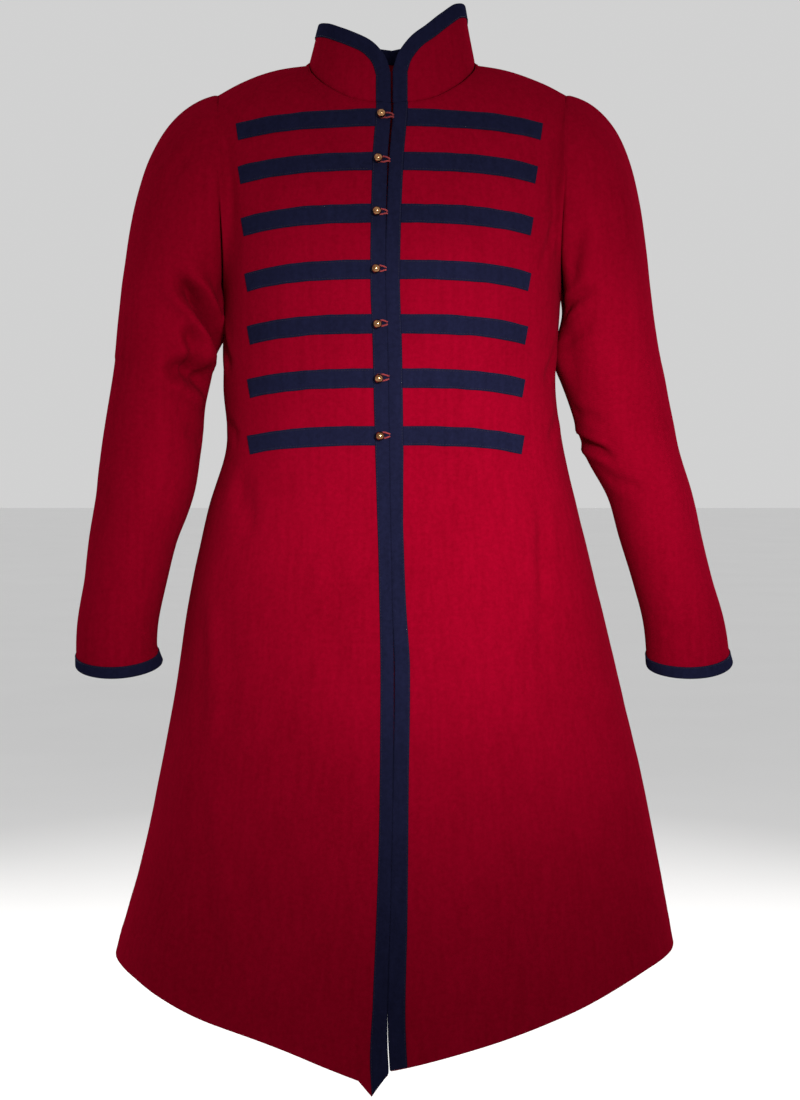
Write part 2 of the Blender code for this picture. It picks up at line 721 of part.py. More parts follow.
def build():
    for found in list(bpy.data.objects):
        bpy.data.objects.remove(found)
    collection = bpy.data.collections.new(COAT)
    bpy.context.scene.collection.children.link(collection)

    fronts = {}
    for side, word in ((-1, "right"), (1, "left")):
        sheet = front_sheet(side)
        facing = side * sheet_normals(sheet)
        fronts[word] = (sheet, facing)
        add_sheet(f"front_{word}", sheet[:, ::side], "wool", WOOL)
        add_front_binding(f"front_binding_{word}", sheet, facing)

        sleeve = sleeve_sheet(side)
        add_sheet(f"sleeve_{word}", sleeve, "wool", WOOL, closed=True)
        cuff_out = sheet_normals(sleeve, closed=True)
        add_cuff_binding(f"cuff_binding_{word}", sleeve, cuff_out)

    add_sheet("back", back_sheet(), "wool", WOOL)
    collar = collar_sheet()
    add_sheet("collar", collar, "wool", WOOL)
    add_collar_binding(collar, sheet_normals(collar))

    for number, height, right_reach, left_reach in BARS:
        add_bar(f"bar_right_{number}", *fronts["right"], height, right_reach)
        add_bar(f"bar_left_{number}", *fronts["left"], height, left_reach)
        add_fastening(number, height, fronts["right"], fronts["left"])


build()
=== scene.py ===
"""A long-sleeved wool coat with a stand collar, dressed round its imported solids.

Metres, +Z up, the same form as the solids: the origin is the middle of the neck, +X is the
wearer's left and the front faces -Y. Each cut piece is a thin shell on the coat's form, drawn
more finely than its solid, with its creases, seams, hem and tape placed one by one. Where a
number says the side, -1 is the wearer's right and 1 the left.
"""

import math

import bmesh
import bpy
import numpy as np
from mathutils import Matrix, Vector, noise
from mathutils.bvhtree import BVHTree


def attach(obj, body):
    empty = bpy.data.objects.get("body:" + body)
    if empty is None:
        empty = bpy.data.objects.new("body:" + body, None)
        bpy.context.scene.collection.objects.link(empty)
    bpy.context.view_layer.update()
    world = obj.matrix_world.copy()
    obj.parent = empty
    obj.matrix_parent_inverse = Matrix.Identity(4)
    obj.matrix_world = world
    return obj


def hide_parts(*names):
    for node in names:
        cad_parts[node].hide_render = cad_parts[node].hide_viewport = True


# The photograph's camera
CAMERA_AWAY = 2.5
CAMERA_ACROSS = 0.0095
CAMERA_HEIGHT = -0.446
METRES_A_PIXEL = 0.00119  # at the coat's middle
IMAGE_LONG_SIDE = 1100
SENSOR = 36.0
LEVEL_ROW = 450  # the picture's row that lies level with the camera

# Studio
FLOOR = -1.62  # where the wearer's feet would stand
FLOOR_HALF = 40.0
SKY = 0.64
WARM = (1.0, 0.98, 0.96)
# Columns: name, place, size, power
BACK_LIGHTS = (
    ("back_left", (-2.0, 2.4, 0.6), 1.2, 62.0),
    ("back_right", (2.0, 2.4, 0.6), 1.2, 62.0),
)
BACK_AIM = (0.0, 0.0, -0.5)
# Columns: name, place, aim, radius, cone in degrees, power
FRONT_LIGHTS = (
    ("key", (0.50, -2.25, -0.20), (0.08, 0.0, -0.52), 0.20, 21.2, 240.0),
    ("fill", (0.50, -2.25, -0.10), (0.05, 0.0, -0.46), 0.25, 35.0, 175.0),
)

# Cloth materials. Columns: name, dark, light, pitch of the weave, its height, height of the nap,
# sheen, tint of the sheen
CLOTHS = (
    ("red_wool", (0.128, 0.0004, 0.0060), (0.188, 0.0007, 0.0100), 0.0012, 0.35, 1.0, 0.05,
     (0.9, 0.03, 0.08)),
    ("navy_tape", (0.0046, 0.0050, 0.0145), (0.0078, 0.0086, 0.0260), 0.0010, 0.5, 0.8, 0.03,
     (0.2, 0.2, 0.5)),
)
# Spun materials. Columns: name, dark, light, tint of the sheen
THREADS = (
    ("red_cord", (0.10, 0.006, 0.009), (0.24, 0.022, 0.026), (0.9, 0.3, 0.3)),
    ("navy_thread", (0.003, 0.003, 0.008), (0.006, 0.006, 0.014), (0.1, 0.1, 0.2)),
)
# Columns of the cloth's colour changes: fineness, detail, roughness, share, stretch up the cloth
CLOTH_BROAD = (6.0, 3.0, 0.55, 0.30, 1.0)
CLOTH_STREAKS = (150.0, 2.0, 0.5, 0.22, 0.05)
CLOTH_FINE = (210.0, 4.0, 0.7, 0.48, 1.0)
BRASS_TARNISHED = (0.21, 0.085, 0.036)
BRASS_BRIGHT = (0.47, 0.25, 0.115)
BRASS_ROUGHNESS = (0.09, 0.20)
FLOOR_GREYS = (0.84, 0.88)

# Cloth, tape, buttons and loops
WOOL = 0.0022  # wall of the coat cloth
TAPE = 0.0010  # wall of the navy tape
BINDING_ROOM = 0.0018  # from the middle to a front's edge, for the binding that wraps it
EDGE_TAPE = 0.0152  # width of the binding on the front edges and the collar
CUFF_TAPE = 0.0115  # width of the binding on the cuffs
BAR_HEIGHT = 0.0212
BAR_DROOP = 0.0105  # how far a bar's outer end lies below its inner end
DROOP_BEND = 3.4
END_SLANT = 0.17  # how far a bar's end is cut aslant
BAR_WAVE = 0.0007
BAR_CROWN = 0.0001
BALL_RADIUS = 0.0052
BALL_SINK = 0.92  # the ball's middle above its shank, in radii
BALL_TURN = 152.0  # how far the ball's outline runs round, in degrees
BALL_PARTS = 16
SHANK_RADIUS = 0.0022
SHANK_HEIGHT = 0.0030
# Columns: share of the shank's radius, height
SHANK_OUTLINE = (
    (1.25, 0.0),
    (1.00, 0.0006),
    (0.90, 0.0018),
)
BUTTON_INSET = 0.0085  # from the front edge to the button
CORD_RADIUS = 0.0010

# Columns: height, half width, shift of the middle across, depth in front, depth behind
BODY_SECTIONS = (
    (-1.170, 0.3590, 0.0030, 0.2330, 0.2420),
    (-1.029, 0.3270, 0.0035, 0.2110, 0.2180),
    (-0.940, 0.3060, 0.0080, 0.1970, 0.2030),
    (-0.833, 0.2850, 0.0090, 0.1820, 0.1860),
    (-0.726, 0.2635, 0.0065, 0.1670, 0.1680),
    (-0.619, 0.2430, 0.0025, 0.1510, 0.1500),
    (-0.512, 0.2180, 0.0010, 0.1350, 0.1300),
    (-0.440, 0.1995, 0.0030, 0.1270, 0.1180),
    (-0.370, 0.1970, -0.0030, 0.1320, 0.1210),
    (-0.280, 0.1990, 0.0000, 0.1380, 0.1280),
)
ROUNDNESS = 0.89  # 1 makes the sections ellipses, less makes them squarer

# Columns: angle from the centre front, hem height on the wearer's right, and on the left
HEM = (
    (0.0, -1.138, -1.118),
    (10.0, -1.114, -1.102),
    (20.0, -1.094, -1.087),
    (36.0, -1.076, -1.063),
    (60.0, -1.046, -1.032),
    (90.0, -1.038, -1.021),
    (135.0, -1.040, -1.030),
    (180.0, -1.042, -1.042),
)

# Columns: height, sway of the front edges across, extra gap between them
FRONT_EDGES = (
    (-1.170, 0.0030, 0.0010),
    (-1.110, -0.0026, 0.0016),
    (-1.060, -0.0040, 0.0008),
    (-0.950, -0.0010, 0.0000),
    (-0.850, 0.0012, 0.0000),
    (-0.695, 0.0030, 0.0016),
    (-0.620, 0.0008, 0.0000),
    (-0.500, -0.0017, 0.0000),
    (-0.330, -0.0045, 0.0000),
    (-0.250, -0.0070, 0.0000),
    (-0.120, -0.0040, 0.0010),
    (-0.060, 0.0002, 0.0026),
    (-0.040, 0.0006, 0.0030),
)

# Columns: side, angle from the centre front, its drift lower down, top, bottom, half width, depth
FOLDS = (
    (1, 47.0, -4.0, -0.46, -0.76, 11.0, -0.0040),
    (1, 22.0, 6.0, -0.70, -1.00, 10.0, 0.0035),
    (1, 72.0, 0.0, -0.56, -1.16, 15.0, 0.0060),
    (-1, 52.0, -6.0, -0.58, -1.16, 13.0, 0.0045),
    (-1, 34.0, 0.0, -0.78, -1.16, 11.0, -0.0040),
    (-1, 76.0, 0.0, -0.46, -0.90, 12.0, -0.0040),
    (1, 112.0, 0.0, -0.50, -1.16, 14.0, 0.0080),
    (1, 142.0, 2.0, -0.46, -1.16, 14.0, -0.0080),
    (-1, 108.0, 0.0, -0.52, -1.16, 15.0, 0.0070),
    (-1, 138.0, 0.0, -0.48, -1.16, 14.0, -0.0070),
    (-1, 165.0, 2.0, -0.55, -1.16, 13.0, 0.0060),
)

CHEST = -0.280  # height where the panels start to close over the shoulders
NECK_HALF_WIDTH = 0.0990
NECK_MIDDLE = -0.0040
NECK_FRONT = 0.0820
NECK_BACK = 0.0740
NECK_POINT = 96.0  # angle round the neck where the shoulder seam starts
# Columns: angle round the neck from the centre front, height of the neck seam
NECK_LINE = (
    (0.0, -0.047),
    (24.0, -0.041),
    (48.0, -0.023),
    (72.0, -0.002),
    (96.0, 0.013),
    (135.0, 0.006),
    (180.0, -0.004),
)
# Columns: part of the way from neck to arm, across, back, up
SHOULDER_LINE = (
    (0.00, 0.0985, 0.0037, 0.0130),
    (0.40, 0.1400, 0.0080, 0.0070),
    (0.72, 0.1790, 0.0100, -0.0065),
    (1.00, 0.2080, 0.0100, -0.0215),
)
# Columns: angle round the armhole from the shoulder by the front, the point's across, back and
# up, then the way the sleeve leaves it across, back and up, and its pull
ARM_RING = (
    (0.0, 0.208, 0.010, -0.0215, 0.98, 0.00, -0.20, 0.97),
    (45.0, 0.204, -0.038, -0.062, 0.90, -0.22, -0.37, 0.92),
    (90.0, 0.200, -0.070, -0.135, 0.70, -0.25, -0.67, 0.80),
    (135.0, 0.198, -0.052, -0.215, 0.42, -0.12, -0.90, 0.60),
    (180.0, 0.201, 0.000, -0.262, 0.24, 0.00, -0.97, 0.50),
    (225.0, 0.199, 0.056, -0.215, 0.42, 0.12, -0.90, 0.60),
    (270.0, 0.201, 0.078, -0.130, 0.70, 0.25, -0.67, 0.80),
    (315.0, 0.204, 0.052, -0.060, 0.90, 0.22, -0.37, 0.92),
    (360.0, 0.208, 0.010, -0.0215, 0.98, 0.00, -0.20, 0.97),
)
# Where the upright lines of a front or back end: from the middle of the panel to NECK_TURN on
# the neck, from there to ARM_TURN on the shoulder, and from there to 90 on the armhole.
NECK_TURN = 24.0
ARM_TURN = 48.0
# The way the cloth runs where it meets the top edge of a front and of the back. Columns: angle
# from the middle of the panel, across, in and up, then its pull
FRONT_RUNS = (
    (0.0, 0.00, 0.39, 0.92, 1.10),
    (12.0, 0.00, 0.54, 0.84, 0.97),
    (18.0, 0.00, 0.80, 0.60, 0.80),
    (24.0, 0.00, 0.97, 0.25, 0.80),
    (36.0, 0.04, 0.96, 0.28, 0.80),
    (48.0, 0.14, 0.92, 0.37, 0.76),
    (58.0, 0.34, 0.50, 0.80, 1.00),
    (69.0, 0.33, -0.08, 0.94, 0.90),
    (80.0, 0.16, -0.22, 0.96, 1.00),
    (90.0, 0.06, 0.00, 1.00, 1.00),
)
BACK_RUNS = (
    (0.0, 0.00, 0.49, 0.87, 0.97),
    (12.0, 0.00, 0.78, 0.62, 0.92),
    (18.0, 0.00, 0.93, 0.36, 0.95),
    (24.0, 0.00, 1.00, 0.02, 1.10),
    (36.0, 0.06, 0.98, 0.18, 0.95),
    (48.0, 0.14, 0.92, 0.37, 0.76),
    (58.0, 0.34, 0.50, 0.80, 1.00),
    (69.0, 0.33, -0.08, 0.94, 0.90),
    (80.0, 0.16, -0.22, 0.96, 1.00),
    (90.0, 0.06, 0.00, 1.00, 1.00),
)

# Columns: height, centre outwards, half width, half depth, centre back
SLEEVE_SECTIONS = {
    -1: (
        (-0.708, 0.3238, 0.0472, 0.0465, -0.029),
        (-0.655, 0.3237, 0.0472, 0.0490, -0.024),
        (-0.601, 0.3147, 0.0482, 0.0520, -0.019),
        (-0.548, 0.3058, 0.0524, 0.0560, -0.014),
        (-0.494, 0.2927, 0.0583, 0.0600, -0.009),
        (-0.440, 0.2850, 0.0589, 0.0630, -0.004),
        (-0.387, 0.2790, 0.0577, 0.0655, 0.001),
        (-0.340, 0.2700, 0.0605, 0.0680, 0.004),
    ),
    1: (
        (-0.708, 0.3492, 0.0486, 0.0465, -0.029),
        (-0.655, 0.3445, 0.0478, 0.0490, -0.024),
        (-0.601, 0.3314, 0.0470, 0.0520, -0.019),
        (-0.548, 0.3177, 0.0488, 0.0560, -0.014),
        (-0.494, 0.3040, 0.0506, 0.0600, -0.009),
        (-0.440, 0.2838, 0.0580, 0.0630, -0.004),
        (-0.387, 0.2689, 0.0610, 0.0655, 0.001),
        (-0.340, 0.2600, 0.0595, 0.0680, 0.004),
    ),
}
SLEEVE_TOP = -0.340
SLEEVE_END = -0.708

COLLAR_HALF_WIDTH = 0.0865  # at the top edge
COLLAR_FRONT = 0.0700
COLLAR_BACK = 0.0620
# Columns: angle from the centre front, top height on the wearer's right, and on the left
COLLAR_TOP = (
    (0.0, -0.012, -0.008),
    (3.0, 0.004, 0.008),
    (8.0, 0.016, 0.021),
    (15.0, 0.026, 0.033),
    (25.0, 0.034, 0.044),
    (40.0, 0.043, 0.060),
    (60.0, 0.052, 0.075),
    (90.0, 0.056, 0.077),
    (130.0, 0.047, 0.055),
    (180.0, 0.038, 0.038),
)

# Columns: number, height, reach on the wearer's right, and on the left
BARS = (
    (1, -0.0650, 0.1800, 0.1740),
    (2, -0.1180, 0.1760, 0.1665),
    (3, -0.1790, 0.1715, 0.1605),
    (4, -0.2430, 0.1670, 0.1575),
    (5, -0.3040, 0.1640, 0.1540),
    (6, -0.3650, 0.1640, 0.1510),
    (7, -0.4300, 0.1645, 0.1500),
)

# Creases on the body. Columns: panel (1 front, -1 back), side, angle and height of one end, angle
# and height of the other end, half width, depth, bow
BODY_CREASES = (
    (1, 1, 53.0, -0.480, 36.0, -0.710, 0.0085, 0.0022, 0.004),
    (1, 1, 8.0, -0.735, 13.5, -0.890, 0.0070, 0.0020, -0.003),
    (1, 1, 24.0, -0.860, 28.0, -1.040, 0.0120, 0.0014, 0.004),
    (1, 1, 84.0, -0.300, 62.0, -0.372, 0.0090, 0.0026, 0.006),
    (1, 1, 86.0, -0.395, 60.0, -0.445, 0.0080, 0.0020, -0.004),
    (1, 1, 70.0, -0.160, 54.0, -0.240, 0.0080, 0.0014, 0.003),
    (1, -1, 60.0, -0.600, 47.0, -0.800, 0.0130, -0.0018, -0.005),
    (1, -1, 47.0, -0.800, 25.0, -1.040, 0.0130, -0.0018, 0.008),
    (1, -1, 46.0, -0.905, 30.0, -1.052, 0.0100, 0.0016, 0.004),
    (1, -1, 34.0, -0.890, 19.0, -1.074, 0.0110, 0.0014, 0.003),
    (1, -1, 58.0, -0.462, 42.0, -0.545, 0.0140, 0.0022, 0.004),
    (1, -1, 86.0, -0.290, 66.0, -0.352, 0.0080, 0.0030, 0.006),
    (1, -1, 85.0, -0.405, 62.0, -0.436, 0.0080, 0.0018, -0.003),
    (1, -1, 12.0, -0.560, 11.0, -0.760, 0.0100, 0.0011, 0.003),
    (-1, 1, 104.0, -0.300, 128.0, -0.386, 0.0100, 0.0030, -0.006),
    (-1, 1, 98.0, -0.398, 136.0, -0.452, 0.0095, 0.0026, 0.005),
    (-1, 1, 150.0, -0.350, 172.0, -0.420, 0.0120, 0.0022, 0.006),
    (-1, 1, 118.0, -0.175, 131.0, -0.270, 0.0090, 0.0020, 0.004),
    (-1, 1, 127.0, -0.520, 133.0, -0.830, 0.0120, 0.0026, 0.005),
    (-1, 1, 156.0, -0.600, 152.0, -0.960, 0.0130, 0.0022, -0.006),
    (-1, -1, 102.0, -0.310, 124.0, -0.372, 0.0090, 0.0028, 0.006),
    (-1, -1, 99.0, -0.388, 132.0, -0.440, 0.0085, 0.0030, -0.004),
    (-1, -1, 154.0, -0.372, 178.0, -0.436, 0.0110, 0.0020, 0.005),
    (-1, -1, 120.0, -0.190, 134.0, -0.262, 0.0080, 0.0018, -0.003),
    (-1, -1, 122.0, -0.545, 128.0, -0.900, 0.0130, 0.0024, 0.006),
    (-1, -1, 149.0, -0.560, 146.0, -0.930, 0.0120, 0.0026, 0.004),
)

# Creases on the sleeves. Columns: side, angle and height of one end, angle and height of the
# other end, half width, depth, bow
SLEEVE_CREASES = (
    (-1, 80.0, -0.238, 180.0, -0.344, 0.0074, 0.0260, 0.004),
    (-1, 92.0, -0.205, 150.0, -0.268, 0.0070, 0.0026, 0.003),
    (-1, 92.0, -0.346, 180.0, -0.376, 0.0115, 0.0200, 0.004),
    (-1, 110.0, -0.296, 140.0, -0.374, 0.0070, 0.0120, 0.003),
    (-1, 150.0, -0.284, 212.0, -0.292, 0.0270, -0.0084, 0.000),
    (-1, 130.0, -0.415, 182.0, -0.440, 0.0085, 0.0026, -0.003),
    (-1, 46.0, -0.092, 56.0, -0.140, 0.0060, 0.0016, 0.002),
    (-1, 62.0, -0.078, 58.0, -0.112, 0.0050, 0.0015, -0.002),
    (-1, 80.0, -0.116, 76.0, -0.156, 0.0055, 0.0018, 0.002),
    (-1, 24.0, -0.070, 28.0, -0.118, 0.0065, 0.0011, 0.002),
    (-1, 70.0, -0.480, 142.0, -0.520, 0.0090, 0.0020, 0.005),
    (-1, 66.0, -0.592, 128.0, -0.622, 0.0070, 0.0016, -0.003),
    (-1, 84.0, -0.646, 150.0, -0.664, 0.0060, 0.0014, 0.002),
    (-1, 205.0, -0.230, 262.0, -0.302, 0.0090, 0.0036, 0.004),
    (-1, 214.0, -0.390, 282.0, -0.436, 0.0080, 0.0032, 0.004),
    (-1, 222.0, -0.430, 296.0, -0.452, 0.0075, 0.0026, -0.003),
    (-1, 300.0, -0.095, 296.0, -0.150, 0.0060, 0.0016, 0.002),
    (-1, 228.0, -0.600, 290.0, -0.626, 0.0080, 0.0014, 0.003),
    (1, 86.0, -0.168, 132.0, -0.262, 0.0080, 0.0040, 0.005),
    (1, 140.0, -0.338, 220.0, -0.338, 0.0330, -0.0078, 0.000),
    (1, 96.0, -0.258, 162.0, -0.290, 0.0060, 0.0050, 0.003),
    (1, 106.0, -0.298, 160.0, -0.322, 0.0055, 0.0024, -0.002),
    (1, 118.0, -0.454, 200.0, -0.432, 0.0060, 0.0080, 0.003),
    (1, 112.0, -0.414, 170.0, -0.402, 0.0070, 0.0022, 0.002),
    (1, 98.0, -0.490, 158.0, -0.472, 0.0080, 0.0020, -0.003),
    (1, 48.0, -0.086, 58.0, -0.134, 0.0060, 0.0014, 0.002),
    (1, 70.0, -0.100, 68.0, -0.148, 0.0055, 0.0015, -0.002),
    (1, 26.0, -0.066, 30.0, -0.112, 0.0060, 0.0010, 0.002),
    (1, 64.0, -0.604, 112.0, -0.618, 0.0055, 0.0013, 0.002),
    (1, 72.0, -0.628, 118.0, -0.636, 0.0050, 0.0012, -0.001),
    (1, 80.0, -0.650, 132.0, -0.660, 0.0055, 0.0013, 0.002),
    (1, 206.0, -0.236, 266.0, -0.300, 0.0085, 0.0034, 0.004),
    (1, 212.0, -0.418, 286.0, -0.444, 0.0080, 0.0036, -0.003),
    (1, 226.0, -0.462, 292.0, -0.474, 0.0070, 0.0024, 0.003),
    (1, 302.0, -0.092, 298.0, -0.146, 0.0060, 0.0014, 0.002),
    (1, 230.0, -0.612, 288.0, -0.634, 0.0075, 0.0013, 0.003),
)
BODY_DEEPENED = 1.45
CREASE_ENDS = 0.3  # share of a crease's length over which each end fades
LIP_AWAY = 1.9  # from the crease's middle, in half widths
LIP_WIDTH = 0.95
CREASE_LIP = 0.34  # how high the cloth stands beside a crease, as a share of its depth

# How finely the shells are divided
NECK_PARTS = 26
SHOULDER_PARTS = 16
ARM_PARTS = 44
SKIRT_PARTS = 150
TOP_PARTS = 76
SLEEVE_PARTS = 144
CAP_PARTS = 56
ARM_LENGTH_PARTS = 104
COLLAR_PARTS = 104  # on each side
COLLAR_RISE_PARTS = 22
BAR_PARTS = 54
BAR_RISE_PARTS = 8
FOLD_PARTS = 8  # of the half circle of a folded tape
EDGE_SHARES = (0.0, 0.0010, 0.0026, 0.0046)  # rows that lie close to the hem, as parts of its rise

# Seams and edges
SHELL_GAP = 0.0001  # between the shells where they are sewn
SEAM_ROLL = 0.0011  # how deep the cloth turns in at a seam
SEAM_SOFT = 0.0026  # over how far from the seam
HEM_TURNING = 0.030  # width of the turned-up hem
HEM_SOFT = 0.003
HEM_STEP = 0.0004  # how much the hem's second layer pushes the cloth out
UNEVEN_BROAD = 0.0011
UNEVEN_FINE = 0.00035
SEAM_TURNS = (16.0, 26.0, 48.0, 56.0)  # the shoulder seam's shift fades beyond its ends
# The wearer's right front ends in a small point. Columns: angle from its edge, how far it rises
HEM_POINT = (
    (0.0, 0.0150),
    (2.2, -0.0118),
    (4.0, 0.0),
)
POINT_RISE = 0.055  # how far up it shows, as a share of the height to the chest
POINT_TAPE = -1.060  # the tape grows wider below this height, out to the point
EASE_TURNS = 15.0  # the cloth is smoothed this far round to each side of a corner
EASE_DEPTH = 0.030  # and fully so this far below the top edge
EASE_TIMES = 60
EASE_CLEAR = 0.002
DIRECTION_STEP = 0.03  # over which the way a sheet runs is measured
CLOSER = 1.5  # draws the rows together at a panel's top edge and at the armhole
EDGE_FLAT = 0.03  # the creases fade this near the front edge
ARM_RADIUS = 0.056
SLEEVE_UNEVEN = 0.8
COLLAR_UNEVEN = 0.7
COLLAR_FULL = 40.0  # the collar's leaning line is set from this angle on
UNDERARM_DEPTH = 0.0009
UNDERARM_SOFT = 0.0016
UNDERARM_START = 0.01
CUFF_FLAT = 0.02  # the creases fade this near the cuff
CUFF_TILT = 0.0125  # the cuff is lowest in front, and rises this far to its sides
FLARE_LENGTH = 0.022
FLARE = {-1: 0.0060, 1: 0.0030}  # how far the cuffs turn out
FLARE_ANGLE = {-1: 178.0, 1: 20.0}
# How wide the front bindings are beside their usual width. Columns: height, share
TAPE_BROAD = {
    -1: (
        (-1.150, 1.05),
        (-1.000, 0.92),
        (-0.850, 0.86),
        (-0.560, 0.84),
        (-0.400, 0.98),
        (0.000, 1.02),
    ),
    1: (
        (-1.150, 1.14),
        (-0.980, 1.16),
        (-0.800, 1.02),
        (-0.680, 1.00),
        (-0.600, 0.88),
        (-0.530, 0.82),
        (-0.450, 0.94),
        (0.000, 1.00),
    ),
}
TAPE_CLEAR = 0.00015
TAPE_CROWN = 0.00012
RIM = 0.42  # how far a shell's rim stands out, as a share of its wall

# Stitches, along the inner edge of each tape
STITCH = 0.0024
STITCH_PITCH = 0.0033
STITCH_RADIUS = 0.00022
STITCH_RINGS = ((0.35, -0.4), (1.0, 0.5), (1.0, 0.5), (0.35, -0.4))  # breadth and lift
STITCH_INSET = 0.0014
BAR_STITCH_INSET = 0.0016

# Buttons and cords. Columns: number, how far the loop is pulled along, its width, its tilt
LOOPS = (
    (1, 0.0016, 1.00, 0.05),
    (2, 0.0012, 1.02, -0.04),
    (3, 0.0004, 0.95, 0.03),
    (4, 0.0008, 0.98, -0.06),
    (5, 0.0010, 1.00, 0.04),
    (6, -0.0004, 1.12, 0.02),
    (7, 0.0006, 1.00, -0.03),
)
CORD_STRAND = 0.00056
CORD_TWIST = 0.0034
CORD_POINTS = 90
CORD_TUCK = 0.0042  # how far a loop's ends reach under the other front's edge
LOOP_LIFT = 1.9  # how far a loop stands off the tape, in cord radii
LOOP_RISE = 0.0008
LOOP_OFF = 0.0002
# From a loop's sewn end to its bend. Columns: share of the way, distance added, share of the pull,
# share of the loop's radius, height off the tape
LOOP_ARM = (
    (1.00, -0.0010, 0.0, 0.45, -CORD_TUCK),
    (1.00, -0.0016, 0.0, 0.50, -0.0010),
    (0.72, 0.0, 0.0, 0.72, 0.0007),
    (0.36, 0.0, 1.0, 1.05, 0.0006),
)

# The flat cut of each piece. Columns: width, length, area, how it is held, what it lies on
CUTS = {
    "front_right": (0.460, 1.160, 0.336, "hung", ["wool_back", "wool_collar"]),
    "front_left": (0.460, 1.152, 0.340, "hung", ["wool_back", "wool_collar"]),
    "back": (0.920, 1.122, 0.653, "hung", ["wool_collar"]),
    "sleeve_right": (0.440, 0.738, 0.231, "hung", ["wool_front_right", "wool_back"]),
    "sleeve_left": (0.440, 0.736, 0.220, "hung", ["wool_front_left", "wool_back"]),
    "collar": (0.580, 0.092, 0.0323, "stretched", ["wool_front_right", "wool_front_left", "wool_back"]),
    "front_binding_right": (0.0372, 1.095, 0.0374, "folded", ["wool_front_right"]),
    "front_binding_left": (0.0372, 1.090, 0.0391, "folded", ["wool_front_left"]),
    "collar_binding": (0.0352, 0.633, 0.0222, "folded", ["wool_collar"]),
    "cuff_binding_right": (0.0287, 0.301, 0.0086, "folded", ["wool_sleeve_right"]),
    "cuff_binding_left": (0.0287, 0.300, 0.0086, "folded", ["wool_sleeve_left"]),
}
BAR_WIDTHS = (0.0242, 0.0229, 0.0218, 0.0213, 0.0213, 0.0213, 0.0212)
BAR_LENGTHS = {
    "right": (0.176, 0.169, 0.169, 0.167, 0.165, 0.165, 0.169),
    "left": (0.171, 0.167, 0.168, 0.168, 0.163, 0.157, 0.153),
}
for word, lengths in BAR_LENGTHS.items():
    for number, (width, length) in enumerate(zip(BAR_WIDTHS, lengths), 1):
        CUTS[f"bar_{word}_{number}"] = (width, length, width * length, "laid", [f"wool_front_{word}"])


def smooth(rows, column, at):
    """A table's column at a value of its first column, on a smooth curve through the rows."""
    keys = [row[0] for row in rows]
    values = [row[column] for row in rows]
    at = min(max(at, keys[0]), keys[-1])
    last = len(keys) - 1
    i = min(max(int(np.searchsorted(keys, at)) - 1, 0), last - 1)

    def slope(j):
        low, high = max(j - 1, 0), min(j + 1, last)
        return (values[high] - values[low]) / (keys[high] - keys[low])

    step = keys[i + 1] - keys[i]
    t = (at - keys[i]) / step
    return (
        (1 + 2 * t) * (1 - t) ** 2 * values[i]
        + t * (1 - t) ** 2 * step * slope(i)
        + t * t * (3 - 2 * t) * values[i + 1]
        + t * t * (t - 1) * step * slope(i + 1)
    )


def hermite(start, leave, end, arrive, t):
    """A point part of the way along a curve with these ends and these directions at them."""
    return (
        (1 + 2 * t) * (1 - t) ** 2 * start
        + t * (1 - t) ** 2 * leave
        + t * t * (3 - 2 * t) * end
        + t * t * (t - 1) * arrive
    )


def unit(vector):
    return vector / np.linalg.norm(vector)


def half_gap(z):
    """From the middle to a front panel's edge: room for the binding that wraps it."""
    return BINDING_ROOM + smooth(FRONT_EDGES, 2, z) / 2


def fold(side, turn, z):
    """How far the folds push the cloth out here."""
    out = 0.0
    for fold_side, angle, drift, top, bottom, width, depth in FOLDS:
        down = (top - z) / (top - bottom)
        if fold_side != side or down <= 0:
            continue
        down = min(down, 1.0)
        away = (turn - angle - drift * down) / width
        growth = math.sin(min(down, 0.7) / 0.7 * math.pi / 2) ** 2
        fade = 1.0 if bottom < -1.1 else math.cos(down * math.pi / 2) ** 0.7
        out += depth * growth * fade * math.exp(-away * away)
    return out


def low_point(side, turn, z):
    """The form below the armholes, at an angle from 0 in front by 90 at the side to 180."""
    half, shift = smooth(BODY_SECTIONS, 1, z), smooth(BODY_SECTIONS, 2, z)
    across = math.sin(math.radians(turn)) ** ROUNDNESS if 0 < turn < 180 else 0.0
    deep = abs(math.cos(math.radians(turn))) ** ROUNDNESS if turn != 90 else 0.0
    if turn < 90:
        gap = half_gap(z)
        x = side * (gap + (half - gap) * across) + shift * across
        y = -deep * smooth(BODY_SECTIONS, 3, z)
    else:
        x = side * half * across + shift
        y = deep * smooth(BODY_SECTIONS, 4, z)
    out = unit(np.array([x * 0.6, y * 1.3, 0.0]))
    return np.array([x, y, z]) + out * fold(side, turn, z)


def neck_point(angle):
    """The neck seam at an angle from the centre front, on the wearer's left."""
    turn = math.radians(angle)
    gap = half_gap(NECK_LINE[0][1])
    deep = NECK_FRONT if angle < 90 else NECK_BACK
    return np.array(
        [
            gap + (NECK_HALF_WIDTH - gap) * math.sin(turn) if angle < 90
            else NECK_HALF_WIDTH * math.sin(turn),
            NECK_MIDDLE - deep * math.cos(turn),
            smooth(NECK_LINE, 1, angle),
        ]
    )


def row_point(rows, at, first):
    """The point that three columns of a table give, from this column on."""
    return np.array([smooth(rows, first + k, at) for k in range(3)])


